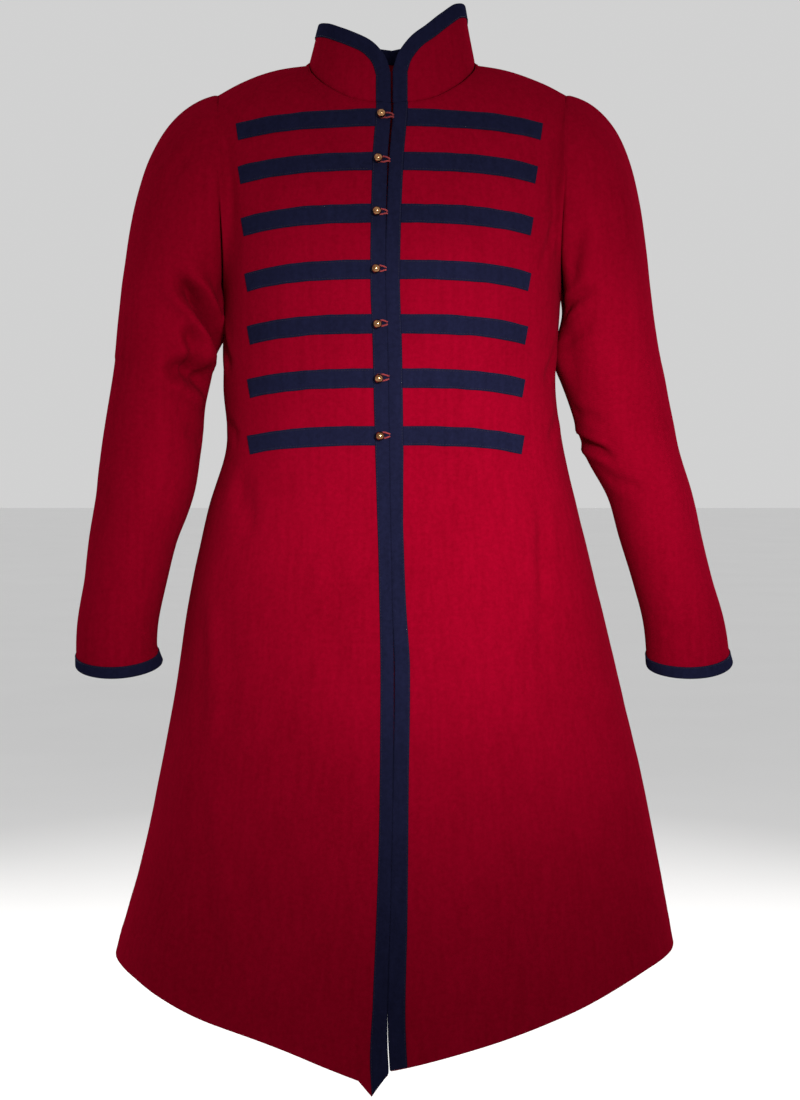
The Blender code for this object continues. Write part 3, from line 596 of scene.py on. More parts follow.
def top_point(from_middle, behind):
    """Where an upright line of the front or the back ends, on the wearer's left."""
    if from_middle <= NECK_TURN:
        angle = NECK_POINT * from_middle / NECK_TURN
        if behind:
            angle = 180 - (180 - NECK_POINT) * from_middle / NECK_TURN
        return neck_point(angle)
    if from_middle <= ARM_TURN:
        part = (from_middle - NECK_TURN) / (ARM_TURN - NECK_TURN)
        return row_point(SHOULDER_LINE, part, 1)
    angle = 180 * (from_middle - ARM_TURN) / (90 - ARM_TURN)
    return row_point(ARM_RING, 360 - angle if behind else angle, 1)


def sleeve_section(side, angle, z):
    """A point of the hanging sleeve: 0 is its outer side, 90 its front."""
    rows = SLEEVE_SECTIONS[side]
    slope = (smooth(rows, 1, z - 0.01) - smooth(rows, 1, z + 0.01)) / 0.02
    lean = math.atan(slope)
    half = smooth(rows, 2, z) * math.cos(lean)
    turn = math.radians(angle)
    return np.array(
        [
            side * (smooth(rows, 1, z) + half * math.cos(lean) * math.cos(turn)),
            smooth(rows, 4, z) - smooth(rows, 3, z) * math.sin(turn),
            z + half * math.sin(lean) * math.cos(turn),
        ]
    )


def linear(rows, column, at):
    """A table's column at values of its first column, straight between the rows."""
    return np.interp(at, [row[0] for row in rows], [row[column] for row in rows])


def mixed(at, keys, values):
    """The point or direction at one place along a line of them."""
    return np.array([np.interp(at, keys, values[:, k]) for k in range(3)])


def lengths_along(path):
    return np.concatenate([[0.0], np.cumsum(np.linalg.norm(np.diff(path, axis=0), axis=1))])


def unit_rows(vectors):
    return vectors / np.maximum(np.linalg.norm(vectors, axis=-1, keepdims=True), 1e-9)


def fine_turns():
    """The upright lines of half a panel, closer together at its edges."""
    neck = [0.0, 0.25, 0.6] + [row[0] for row in HEM_POINT]
    neck += list(np.linspace(1.0, NECK_TURN, NECK_PARTS, endpoint=False))
    shoulder = list(np.linspace(NECK_TURN, ARM_TURN, SHOULDER_PARTS, endpoint=False))
    arm = list(np.linspace(ARM_TURN, 89.0, ARM_PARTS, endpoint=False))
    return sorted(set(neck + shoulder + arm + [89.0, 89.5, 89.8, 90.0]))


def front_tip(side, from_middle, share):
    """The small point at the lower front corner of the wearer's right front."""
    if side > 0:
        return 0.0
    return linear(HEM_POINT, 1, from_middle) * max(0.0, 1 - share / POINT_RISE) ** 2


def upright(side, from_middle, behind):
    """One upright line of a front or back shell, from the hem to its top edge."""
    turn = 180 - from_middle if behind else from_middle
    hem = smooth(HEM, 1 if side < 0 else 2, turn)
    shares = list(EDGE_SHARES) + list(np.linspace(0.0, 1.0, SKIRT_PARTS, endpoint=False)[1:])
    points = []
    for share in shares:
        z = hem + (CHEST - hem) * share
        if not behind:
            z += front_tip(side, from_middle, share)
        points.append(low_point(side, turn, z))
    start = low_point(side, turn, CHEST)
    leave = unit(start - low_point(side, turn, CHEST - DIRECTION_STEP))
    end = top_point(from_middle, behind)
    runs = BACK_RUNS if behind else FRONT_RUNS
    arrive = unit(row_point(runs, from_middle, 1))
    way = 1 if behind else -1
    shift = way * (SHELL_GAP / 2 + WOOL * arrive[2])
    end[1] += shift * np.interp(from_middle, SEAM_TURNS, (0.0, 1.0, 1.0, 0.0))
    if behind:
        arrive[1] = -arrive[1]
    end[0], arrive[0] = side * end[0], side * arrive[0]
    reach = np.linalg.norm(end - start)
    arrive = arrive * reach * smooth(runs, 4, from_middle)
    for k in range(TOP_PARTS + 1):
        t = 1 - (1 - k / TOP_PARTS) ** CLOSER
        points.append(hermite(start, leave * reach, end, arrive, t))
    sway_share = (1 - math.sin(math.radians(from_middle))) ** 2
    for point in points:
        if not behind:
            point[0] += sway_share * smooth(FRONT_EDGES, 1, point[2])
        if from_middle == 90:
            point[1] += way * SHELL_GAP / 2
    return points


def sheet_normals(points, closed=False):
    """Unit directions out of a sheet, columns across and rows along."""
    if closed:
        across = np.roll(points, -1, axis=1) - np.roll(points, 1, axis=1)
    else:
        across = np.gradient(points, axis=1)
    normals = np.cross(across, np.gradient(points, axis=0))
    return normals / np.linalg.norm(normals, axis=2, keepdims=True)


def outward(points, side):
    """Unit directions out of a front, whose columns run from the middle to its side."""
    return sheet_normals(points[:, ::side])[:, ::side]


def along(points, axis):
    """Distances along the columns or the rows of a sheet, from its first row or column."""
    gaps = np.linalg.norm(np.diff(points, axis=axis), axis=2)
    first = np.zeros_like(np.take(gaps, [0], axis=axis))
    return np.concatenate([first, np.cumsum(gaps, axis=axis)], axis=axis)


def crease_depths(creases, angles, up, radius):
    """How far creases move a sheet's points, from its columns' angles and their heights."""
    across = np.radians(angles)[None, :] * radius(up)
    out = np.zeros(up.shape)
    for a0, z0, a1, z1, half, depth, bow in creases:
        x0, x1 = math.radians(a0) * radius(z0), math.radians(a1) * radius(z1)
        run = np.array([x1 - x0, z1 - z0])
        length = np.linalg.norm(run)
        run = run / length
        t = ((across - x0) * run[0] + (up - z0) * run[1]) / length
        inside = np.clip(t, 0, 1)
        aside = (up - z0) * run[0] - (across - x0) * run[1] - bow * 4 * inside * (1 - inside)
        rise = np.clip(t / CREASE_ENDS, 0, 1)
        fall = np.clip((1 - t) / CREASE_ENDS, 0, 1)
        share = rise * rise * (3 - 2 * rise) * fall * fall * (3 - 2 * fall)
        trough = np.exp(-((aside / half) ** 2))
        lips = np.exp(-(((np.abs(aside) - LIP_AWAY * half) / (LIP_WIDTH * half)) ** 2))
        out -= depth * share * (trough - CREASE_LIP * lips)
    return out


def uneven(points):
    """The slight unevenness of worn cloth."""
    out = [
        UNEVEN_BROAD * noise.noise(Vector(point * 9.0))
        + UNEVEN_FINE * noise.noise(Vector(point * 34.0 + 5.0))
        for point in points.reshape(-1, 3)
    ]
    return np.array(out).reshape(points.shape[:2])


def seam_roll(distance):
    return -SEAM_ROLL * np.exp(-((distance / SEAM_SOFT) ** 2))


def body_radius(z):
    """A rough radius of the body, to turn angles into distances along the cloth."""
    return (linear(BODY_SECTIONS, 1, z) + linear(BODY_SECTIONS, 3, z)) / 2


def eased(points, turns):
    """A body sheet with the cloth below the corners of its top edge smoothed across."""
    near = np.zeros(len(turns))
    for corner in (NECK_TURN, ARM_TURN):
        near = np.maximum(near, np.clip(1 - np.abs(np.array(turns) - corner) / EASE_TURNS, 0, 1))
    up = along(points, 0)
    below = np.clip((up[-1:] - up - EASE_CLEAR) / EASE_DEPTH, 0, 1)
    share = (0.5 * near[None, 1:-1] * below[:, 1:-1])[:, :, None]
    points = points.copy()
    for _ in range(EASE_TIMES):
        middle = (points[:, :-2] + points[:, 2:]) / 2
        points[:, 1:-1] += share * (middle - points[:, 1:-1])
    return points


def panel_depths(points, angles, sides, panel, up):
    """How far creases, the hem's turning and unevenness push a front or back out."""
    out = uneven(points) + HEM_STEP * np.clip((HEM_TURNING + HEM_SOFT - up) / (2 * HEM_SOFT), 0, 1)
    for side in (-1, 1):
        creases = [row[2:] for row in BODY_CREASES if row[:2] == (panel, side)]
        depths = crease_depths(creases, angles, points[:, :, 2], body_radius)
        out += BODY_DEEPENED * depths * (sides == side)
    return out


def front_shell(side):
    """The outer points of a front, rows from the hem up, columns from the front edge outwards."""
    turns = fine_turns()
    points = np.array([upright(side, turn, False) for turn in turns]).transpose(1, 0, 2)
    points = eased(points, turns)
    up, sideways = along(points, 0), along(points, 1)
    out = panel_depths(points, turns, np.full(len(turns), side), 1, up)
    out *= np.clip(sideways / EDGE_FLAT, 0, 1) ** 0.7
    out += seam_roll(up[-1:] - up) + seam_roll(sideways[:, -1:] - sideways)
    return points + outward(points, side) * out[:, :, None]


def back_shell():
    """The outer points of the back, columns from the wearer's left side to the right."""
    turns = fine_turns()
    sides = np.array([1] * len(turns) + [-1] * (len(turns) - 1))
    turns = turns[::-1] + turns[1:]
    points = np.array([upright(side, turn, True) for side, turn in zip(sides, turns)])
    points = eased(points.transpose(1, 0, 2), turns)
    up, sideways = along(points, 0), along(points, 1)
    out = panel_depths(points, [180 - turn for turn in turns], sides, -1, up)
    out += seam_roll(up[-1:] - up) + seam_roll(sideways) + seam_roll(sideways[:, -1:] - sideways)
    return points + sheet_normals(points) * out[:, :, None]


def sleeve_line(side, angle):
    """One line down a sleeve, from the armhole to the cuff."""
    start = row_point(ARM_RING, angle, 1)
    leave = unit(row_point(ARM_RING, angle, 4))
    start += leave * SHELL_GAP
    start[0], leave[0] = side * start[0], side * leave[0]
    end = sleeve_section(side, angle, SLEEVE_TOP)
    arrive = unit(sleeve_section(side, angle, SLEEVE_TOP - DIRECTION_STEP) - end)
    reach = np.linalg.norm(end - start)
    leave = leave * reach * smooth(ARM_RING, 7, angle)
    points = []
    for k in range(CAP_PARTS):
        points.append(hermite(start, leave, end, arrive * reach, (k / CAP_PARTS) ** CLOSER))
    tilt = CUFF_TILT * (1 - math.sin(math.radians(angle)))
    for k in range(ARM_LENGTH_PARTS + 1):
        share = k / ARM_LENGTH_PARTS
        z = SLEEVE_TOP + (SLEEVE_END - SLEEVE_TOP) * share + tilt * share**4
        points.append(sleeve_section(side, angle, z))
    return points


def sleeve_shell(side):
    """The outer points of a sleeve, rows from the armhole down, columns round it, facing out."""
    angles = list(np.linspace(0.0, 360.0, SLEEVE_PARTS, endpoint=False))
    angles = np.array(sorted(angles + [178.6, 179.4, 180.6, 181.4]))
    if side < 0:
        angles = -angles % 360
    points = np.array([sleeve_line(side, angle) for angle in angles]).transpose(1, 0, 2)
    down = along(points, 0)
    to_cuff = down[-1:] - down
    creases = [row[1:] for row in SLEEVE_CREASES if row[0] == side]
    out = crease_depths(creases, angles, points[:, :, 2], lambda z: ARM_RADIUS)
    out += SLEEVE_UNEVEN * uneven(points)
    out *= np.clip(to_cuff / CUFF_FLAT, 0, 1) ** 0.5
    under = np.radians(angles - 180.0) * ARM_RADIUS
    groove = UNDERARM_DEPTH * np.exp(-((under / UNDERARM_SOFT) ** 2))
    out += seam_roll(down) - groove[None, :] * np.clip(down / UNDERARM_START, 0, 1)
    turned = np.cos(np.radians(angles - FLARE_ANGLE[side]) / 2) ** 8
    out += FLARE[side] * turned[None, :] * np.clip(1 - to_cuff / FLARE_LENGTH, 0, 1) ** 2
    return points + sheet_normals(points, closed=True) * out[:, :, None]


def collar_line(side, angle):
    """One upright line of the collar, from the neck seam to its top edge."""
    base = neck_point(angle)
    turn = math.radians(angle)
    column = 1 if side < 0 else 2
    full = smooth(COLLAR_TOP, column, max(angle, COLLAR_FULL))
    lean = (smooth(COLLAR_TOP, column, angle) - base[2]) / (full - base[2])
    deep = COLLAR_FRONT if angle < 90 else COLLAR_BACK
    spread = half_gap(NECK_LINE[0][1]) if angle < 90 else 0.0
    across = spread * math.cos(turn) + COLLAR_HALF_WIDTH * math.sin(turn)
    over = np.array([across, NECK_MIDDLE - deep * math.cos(turn), full])
    top = base + (over - base) * lean
    base = base + unit(over - base) * SHELL_GAP
    shares = [(k / COLLAR_RISE_PARTS) ** 1.15 for k in range(COLLAR_RISE_PARTS + 1)]
    return [(base + (top - base) * share) * (side, 1, 1) for share in shares]


def collar_shell():
    """The outer points of the collar, columns from the left front corner round the back."""
    angles = [180.0 * (k / COLLAR_PARTS) ** 1.25 for k in range(COLLAR_PARTS)]
    left = [collar_line(1, angle) for angle in angles]
    right = [collar_line(-1, angle) for angle in reversed(angles)]
    points = np.array(left + [collar_line(1, 180.0)] + right).transpose(1, 0, 2)
    out = COLLAR_UNEVEN * uneven(points) + seam_roll(along(points, 0))
    return points + sheet_normals(points) * out[:, :, None]


def numbered(points, closed=False):
    """A grid's points numbered row by row, with its first column again after a closed row."""
    at = np.arange(points.shape[0] * points.shape[1]).reshape(points.shape[:2])
    return np.concatenate([at, at[:, :1]], axis=1) if closed else at


def quads(at):
    """The faces between the points of a numbered grid."""
    corners = [at[:-1, :-1], at[:-1, 1:], at[1:, 1:], at[1:, :-1]]
    return np.stack(corners, axis=2).reshape(-1, 4).tolist()


def loft(rings, closed=False):
    """Points and faces of a body through rings of points, with flat ends if it is open."""
    rings = np.asarray(rings)
    at = numbered(rings, closed=True)
    if closed:
        return rings.reshape(-1, 3), quads(np.concatenate([at, at[:1]]))
    return rings.reshape(-1, 3), quads(at) + [at[0, -2::-1].tolist(), at[-1, :-1].tolist()]


def gathered(bodies):
    """The points and faces of several bodies as one."""
    faces, count = [], 0
    for places, body_faces in bodies:
        faces += [[corner + count for corner in face] for face in body_faces]
        count += len(places)
    return np.concatenate([places for places, _ in bodies]), faces


def add_piece(name, places, faces, spots=None):
    """A mesh piece that faces out; its spots are its points' flat places on the cloth."""
    data = bpy.data.meshes.new(name)
    data.from_pydata(np.asarray(places).tolist(), [], faces)
    if spots is not None:
        layer = data.uv_layers.new(name="cloth")
        corners = np.empty(len(data.loops), dtype=np.int32)
        data.loops.foreach_get("vertex_index", corners)
        layer.data.foreach_set("uv", np.asarray(spots)[corners].astype(np.float32).ravel())
    data.validate()
    data.shade_smooth()
    solid = bmesh.new()
    solid.from_mesh(data)
    if solid.calc_volume(signed=True) < 0:
        data.flip_normals()
    solid.free()
    made = bpy.data.objects.new(name, data)
    bpy.context.scene.collection.objects.link(made)
    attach(made, "root")
    return made


def shell_mesh(name, points, normals, wall, closed=False):
    """A closed shell of cloth: outer points, inner points and soft rims between them."""
    rows = len(points)
    inner = points - normals * wall
    middle = (points + inner) / 2
    flat = np.stack([along(points, 1), along(points, 0)], axis=2)

    def rim(edge, beside, core):
        return core + unit_rows(edge - beside) * wall * RIM

    low = rim(points[0], points[1], middle[0])
    high = rim(points[-1], points[-2], middle[-1])
    sides = []
    if not closed:
        for c, beside in ((0, 1), (-1, -2)):
            line = rim(points[:, c], points[:, beside], middle[:, c])
            low[c] += line[0] - middle[0, c]
            high[c] += line[-1] - middle[-1, c]
            sides.append(line[1:-1])
    rings = np.concatenate([low[None], points, high[None], inner[::-1]])
    at = numbered(rings)
    wrapped = numbered(rings, closed)
    faces = quads(np.concatenate([wrapped, wrapped[:1]]))
    places, spots = [rings.reshape(-1, 3)], [flat[0], flat.reshape(-1, 2), flat[-1]]
    spots.append(flat[::-1].reshape(-1, 2))
    first = at.size
    for line, c, way in zip(sides, (0, -1), (-1, 1)):
        edge = [at[0, c], *range(first, first + rows - 2), at[rows + 1, c]]
        strip = np.stack([at[1:rows + 1, c], edge, at[:rows + 1:-1, c]], axis=1)
        faces += quads(strip[:, ::way])
        places.append(line)
        spots.append(flat[1:-1, c])
        first += rows - 2
    return add_piece(name, np.concatenate(places), faces, np.concatenate(spots))


def folded_outline(width):
    """A folded tape's outline: distances in from the cloth's edge and out of its face."""
    near, far = TAPE_CLEAR, TAPE_CLEAR + TAPE
    middle, tight, wide = -WOOL / 2, WOOL / 2 + near, WOOL / 2 + far
    inset = [width * share for share in (0.12, 0.3, 0.5, 0.7, 0.86, 0.96)]
    outline = [(s, far + TAPE_CROWN * math.sin(math.pi * s / width)) for s in reversed(inset)]
    for k in range(FOLD_PARTS + 1):
        turn = math.pi / 2 + math.pi * k / FOLD_PARTS
        outline.append((wide * math.cos(turn), middle + wide * math.sin(turn)))
    outline += [(s, -WOOL - far) for s in inset]
    outline += [(width, -WOOL - (near + far) / 2), (width * 0.97, -WOOL - near)]
    outline += [(s, -WOOL - near) for s in reversed(inset[:-1])]
    for k in range(FOLD_PARTS // 2 + 1):
        turn = 3 * math.pi / 2 - math.pi * k / (FOLD_PARTS // 2)
        outline.append((tight * math.cos(turn), middle + tight * math.sin(turn)))
    outline += [(s, near) for s in inset[:-1]]
    outline += [(width * 0.97, near), (width, (near + far) / 2)]
    return outline


def binding_mesh(name, sheet, edge, inward, normals, width, broad=None, closed=False):
    """Folded tape round a cloth edge, laid on the sheet at each point, and its line of stitches."""
    tree = BVHTree.FromPolygons(sheet.reshape(-1, 3).tolist(), quads(numbered(sheet, closed)))
    broad = np.ones(len(edge)) if broad is None else broad
    outline = folded_outline(width)
    rings, line = [], []
    for point, run, out, scale in zip(edge, inward, normals, broad):
        ring = []
        for s, h in outline:
            place = point + (s * scale if s > 0 else s) * run
            if s > 0:
                place = np.array(tree.find_nearest(Vector(place))[0])
            ring.append(place + h * out)
        rings.append(ring)
        sewn = tree.find_nearest(Vector(point + (width * scale - STITCH_INSET) * run))[0]
        line.append(np.array(sewn) + (TAPE_CLEAR + TAPE + 0.00002) * out)
    places, faces = loft(rings, closed)
    spots = np.stack(np.meshgrid(lengths_along(np.array(outline)), lengths_along(edge)), axis=2)
    made = add_piece(name, places, faces, spots.reshape(-1, 2))
    return made, (np.array(line), np.array(normals))


def circle(middle, first, second, radius, parts):
    """Points round a circle, from two directions across it."""
    turns = 2 * math.pi * np.arange(parts)[:, None] / parts
    return middle + radius * (np.cos(turns) * first + np.sin(turns) * second)


def stitch_rows(name, lines):
    """Small stitches along lines of points, each line with the directions out of the cloth."""
    stitches = []
    for line, outs in lines:
        at = lengths_along(line)
        for start in np.arange(STITCH_PITCH * 0.5, at[-1] - STITCH, STITCH_PITCH):
            spots = [mixed(start + STITCH * share, at, line) for share in (0.0, 0.2, 0.8, 1.0)]
            out = unit(mixed(start, at, outs))
            beside = unit(np.cross(unit(spots[-1] - spots[0]), out))
            rings = []
            for spot, (broad, lift) in zip(spots, STITCH_RINGS):
                middle = spot + out * STITCH_RADIUS * lift
                rings.append(circle(middle, beside, out, STITCH_RADIUS * broad, 4))
            stitches.append(loft(rings))
    return add_piece(name, *gathered(stitches))


def crossings(sheet, normals, z):
    """Where the upright lines of a sheet first reach a height: points and directions out."""
    above = sheet[:, :, 2] >= z
    last = len(sheet) - 2
    rows = np.where(above.any(axis=0), np.clip(above.argmax(axis=0) - 1, 0, last), last)
    columns = np.arange(sheet.shape[1])
    low, high = sheet[rows, columns], sheet[rows + 1, columns]
    t = (z - low[:, 2]) / np.maximum(high[:, 2] - low[:, 2], 1e-6)
    t = np.clip(t, 0, 1)[:, None]
    outs = normals[rows, columns] * (1 - t) + normals[rows + 1, columns] * t
    return low + t * (high - low), outs


def spot_at(front, across, z):
    """A front's point and direction out at a distance from the middle, and its edge's distance."""
    points, outs = crossings(*front, z)
    reach = points[:, 0] * np.sign(points[len(points) // 2, 0])
    if across is None:
        across = reach[0]
    keep = reach >= np.maximum.accumulate(reach) - 1e-9
    spot = mixed(across, reach[keep], points[keep])
    return spot, unit(mixed(across, reach[keep], outs[keep])), reach[0]


def bar_shell(name, front, height, reach, side):
    """A tape bar laid on a front, hand-sewn and so a little uneven, and its lines of stitches."""
    shares = [0.0, 0.006, 0.02] + list(np.linspace(0.04, 0.96, BAR_PARTS)) + [0.98, 0.994, 1.0]
    rises = [-0.5, -0.47] + list(np.linspace(-0.4, 0.4, BAR_RISE_PARTS - 3)) + [0.47, 0.5]
    inner_end = EDGE_TAPE * linear(TAPE_BROAD[side], 1, height) + 0.00005
    grid, outs = [], []
    for rise in rises:
        level = height + BAR_HEIGHT * rise
        first = spot_at(front, None, level)[2] + inner_end
        last = reach + END_SLANT * BAR_HEIGHT * rise
        spots = []
        for share in shares:
            across = first + (last - first) * share
            droop = BAR_DROOP * min(across / reach, 1.1) ** DROOP_BEND
            wave = noise.noise(Vector((across * 55, height * 40, rise * 0.8 + side)))
            z = level - droop + BAR_WAVE * wave * min(1.0, 6 * share)
            spots.append(spot_at(front, across, z))
        grid.append([spot for spot, _, _ in spots])
        outs.append([out for _, out, _ in spots])
    grid, outs = np.array(grid), np.array(outs)
    crown = BAR_CROWN * (1 - (np.array(rises) * 2) ** 2)[:, None, None]
    top = grid + outs * (TAPE_CLEAR + TAPE + crown)
    made = shell_mesh(name, top[:, ::side], outs[:, ::side], TAPE)
    lines = []
    heights = np.array(rises) + 0.5
    for share in (BAR_STITCH_INSET / BAR_HEIGHT, 1 - BAR_STITCH_INSET / BAR_HEIGHT):
        line, out = [
            np.array([mixed(share, heights, values[:, c]) for c in range(2, len(shares) - 2)])
            for values in (grid, outs)
        ]
        lines.append((line + unit_rows(out) * (TAPE_CLEAR + TAPE + 0.00004), out))
    return made, lines


def tube(path, radius, parts):
    """Points and faces of a tube along a path."""
    path = np.asarray(path)
    runs = unit_rows(np.gradient(path, axis=0))
    side = unit(np.cross(runs[0], (0.31, -0.62, 0.72)))
    rings = []
    for point, run in zip(path, runs):
        side = unit(side - run * np.dot(side, run))
        rings.append(circle(point, side, np.cross(run, side), radius, parts))
    return loft(rings)


def smooth_path(points, count):
    """A smooth run of points through a few."""
    rows = [(float(k), *point) for k, point in enumerate(points)]
    return np.array([row_point(rows, at, 1) for at in np.linspace(0, len(points) - 1, count)])


def add_button(number, place, out):
    """A ball button on its shank."""
    profile = [(SHANK_RADIUS * share, height) for share, height in SHANK_OUTLINE]
    middle = SHANK_HEIGHT + BALL_RADIUS * BALL_SINK
    for k in range(BALL_PARTS + 1):
        turn = math.radians(BALL_TURN * (1 - k / BALL_PARTS))
        spread = max(BALL_RADIUS * math.sin(turn), 0.00003)
        profile.append((spread, middle + BALL_RADIUS * math.cos(turn)))
    side = unit(np.cross(out, (0.0, 0.0, 1.0)))
    up = unit(np.cross(side, out))
    rings = [circle(place + out * height, side, up, radius, 40) for radius, height in profile]
    dress(add_piece(f"ball_button_{number}", *loft(rings)), "polished_brass", f"button_{number}")


def fastening(number, height, fronts, pull, wide, tilt):
    """A ball button on the right front's binding, and the cord loop from the left front's edge."""
    lift = TAPE_CLEAR + TAPE
    first = spot_at(fronts["right"], None, height)[2]
    place, out, _ = spot_at(fronts["right"], first + BUTTON_INSET, height)
    far, far_out, _ = spot_at(fronts["left"], None, height)
    add_button(number, place + out * lift, out)

    base = place + out * (lift + CORD_RADIUS * LOOP_LIFT)
    end = far + far_out * (lift * 0.2)
    across = unit(end - base - out * np.dot(end - base, out))
    up = unit(np.cross(out, across))
    if up[2] < 0:
        up = -up
    up = unit(up + across * tilt)
    base = base + up * LOOP_RISE
    reach = float(np.dot(end - base, across))
    radius = (SHANK_RADIUS + CORD_RADIUS * 0.9) * wide
    arm = [
        (reach * share + added + pull * pulled, radius * apart, off)
        for share, added, pulled, apart, off in LOOP_ARM
    ]
    turns = [math.radians(60 + 40 * k) for k in range(7)]
    bend = [(radius * math.cos(t) + pull * 0.5, radius * math.sin(t), LOOP_OFF) for t in turns]
    route = arm + bend + [(a, -b, c) for a, b, c in reversed(arm)]
    path = smooth_path([base + a * across + b * up + c * out for a, b, c in route], CORD_POINTS)
    runs = unit_rows(np.gradient(path, axis=0))
    beside = unit_rows(np.cross(runs, out))
    above = np.cross(beside, runs)
    strands = []
    for strand in range(3):
        turn = 2 * math.pi * (lengths_along(path) / CORD_TWIST + strand / 3)[:, None]
        spun = path + CORD_STRAND * 0.9 * (beside * np.cos(turn) + above * np.sin(turn))
        strands.append(tube(spun, CORD_STRAND, 6))
    dress(add_piece(f"cord_loop_{number}", *gathered(strands)), "red_cord", f"loop_{number}")


def new_material(name, **sockets):
    """A material with its tree and its shader, the shader's sockets set to these values."""
    made = bpy.data.materials.new(name)
    made.use_nodes = True
    shader = made.node_tree.nodes["Principled BSDF"]
    for socket, value in sockets.items():
        shader.inputs[socket.replace("_", " ")].default_value = value
    return made, made.node_tree, shader


def clouds(tree, scale, detail, roughness=0.5, stretch=1.0):
    """A noise pattern that stays on the piece, stretched up it."""
    place = tree.nodes.new("ShaderNodeTexCoord")
    mapping = tree.nodes.new("ShaderNodeMapping")
    mapping.inputs["Scale"].default_value = (1.0, 1.0, stretch)
    tree.links.new(place.outputs["Object"], mapping.inputs["Vector"])
    texture = tree.nodes.new("ShaderNodeTexNoise")
    for socket, value in (("Scale", scale), ("Detail", detail), ("Roughness", roughness)):
        texture.inputs[socket].default_value = value
    tree.links.new(mapping.outputs["Vector"], texture.inputs["Vector"])
    return texture.outputs["Fac"]


def maths(tree, operation, first, second=0.0):
    """A maths node on two values, each a number or an output."""
    made = tree.nodes.new("ShaderNodeMath")
    made.operation = operation
    for socket, value in zip(made.inputs, (first, second)):
        if isinstance(value, (int, float)):
            socket.default_value = value
        else:
            tree.links.new(value, socket)
    return made.outputs[0]


def colour(tree, shader, value, dark, light, low=0.0, high=1.0):
    """Colours a shader between two colours by a value."""
    ramp = tree.nodes.new("ShaderNodeValToRGB")
    for stop, place, shade in zip(ramp.color_ramp.elements, (low, high), (dark, light)):
        stop.position = place
        stop.color = (*shade, 1.0)
    tree.links.new(value, ramp.inputs["Fac"])
    tree.links.new(ramp.outputs["Color"], shader.inputs["Base Color"])


def roughen(tree, shader, height, strength, distance):
    bump = tree.nodes.new("ShaderNodeBump")
    bump.inputs["Strength"].default_value = strength
    bump.inputs["Distance"].default_value = distance
    tree.links.new(height, bump.inputs["Height"])
    tree.links.new(bump.outputs["Normal"], shader.inputs["Normal"])


def cloth_material(name, dark, light, pitch, weave, nap, sheen, tint):
    """Woven cloth: broad and fine colour changes, a diagonal weave and a short nap."""
    made, tree, shader = new_material(
        name, Roughness=0.96, Specular_IOR_Level=0.0, Sheen_Weight=sheen, Sheen_Roughness=0.5,
        Sheen_Tint=(*tint, 1.0),
    )
    blend = None
    for scale, detail, roughness, share, stretch in (CLOTH_BROAD, CLOTH_STREAKS, CLOTH_FINE):
        part = maths(tree, "MULTIPLY", clouds(tree, scale, detail, roughness, stretch), share)
        blend = maths(tree, "ADD", blend, part) if blend else part
    colour(tree, shader, blend, dark, light, 0.34, 0.66)

    flat = tree.nodes.new("ShaderNodeUVMap")
    flat.uv_map = "cloth"
    apart = tree.nodes.new("ShaderNodeSeparateXYZ")
    tree.links.new(flat.outputs["UV"], apart.inputs[0])
    across = maths(tree, "MULTIPLY", apart.outputs[0], 2 * math.pi / pitch)
    up = maths(tree, "MULTIPLY", apart.outputs[1], 2 * math.pi / pitch)
    warp = maths(tree, "SINE", maths(tree, "ADD", across, maths(tree, "MULTIPLY", up, 0.5)))
    weft = maths(tree, "SINE", maths(tree, "SUBTRACT", up, maths(tree, "MULTIPLY", across, 0.5)))
    woven = maths(tree, "MULTIPLY", maths(tree, "ADD", warp, maths(tree, "MULTIPLY", weft, 0.5)), weave)
    fuzz = maths(tree, "MULTIPLY", clouds(tree, 1500.0, 3.0, 0.7), nap)
    roughen(tree, shader, maths(tree, "ADD", woven, fuzz), 0.55, 0.00025)
    return made


def thread_material(name, dark, light, tint):
    """Spun cord or thread: colour changes along it and a fine fibre bump."""
    made, tree, shader = new_material(
        name, Roughness=0.7, Specular_IOR_Level=0.3, Sheen_Weight=0.2, Sheen_Tint=(*tint, 1.0)
    )
    fibres = clouds(tree, 900.0, 3.0)
    colour(tree, shader, fibres, dark, light, 0.35, 0.65)
    roughen(tree, shader, fibres, 0.4, 0.0001)
    return made


def brass_material():
    """Polished brass with a little tarnish and fine scratches."""
    made, tree, shader = new_material("polished_brass", Metallic=1.0)
    tarnish = clouds(tree, 260.0, 4.0)
    colour(tree, shader, tarnish, BRASS_TARNISHED, BRASS_BRIGHT, 0.35, 0.6)
    rough = tree.nodes.new("ShaderNodeMapRange")
    rough.inputs["To Min"].default_value, rough.inputs["To Max"].default_value = BRASS_ROUGHNESS
    tree.links.new(tarnish, rough.inputs["Value"])
    tree.links.new(rough.outputs["Result"], shader.inputs["Roughness"])
    roughen(tree, shader, clouds(tree, 1400.0, 2.0), 0.12, 0.0001)
    return made


def floor_material():
    made, tree, shader = new_material("pale_floor", Roughness=0.9, Specular_IOR_Level=0.1)
    dark, light = FLOOR_GREYS
    colour(tree, shader, clouds(tree, 1.5, 2.0), (dark,) * 3, (light,) * 3)
    return made


def link_to_scene(name, data):
    made = bpy.data.objects.new(name, data)
    bpy.context.scene.collection.objects.link(made)
    return made


def add_light(name, data, place, aim, power):
    data.energy = power
    data.color = WARM
    made = link_to_scene(name, data)
    made.location = place
    made.rotation_euler = (Vector(aim) - Vector(place)).to_track_quat("-Z", "Y").to_euler()


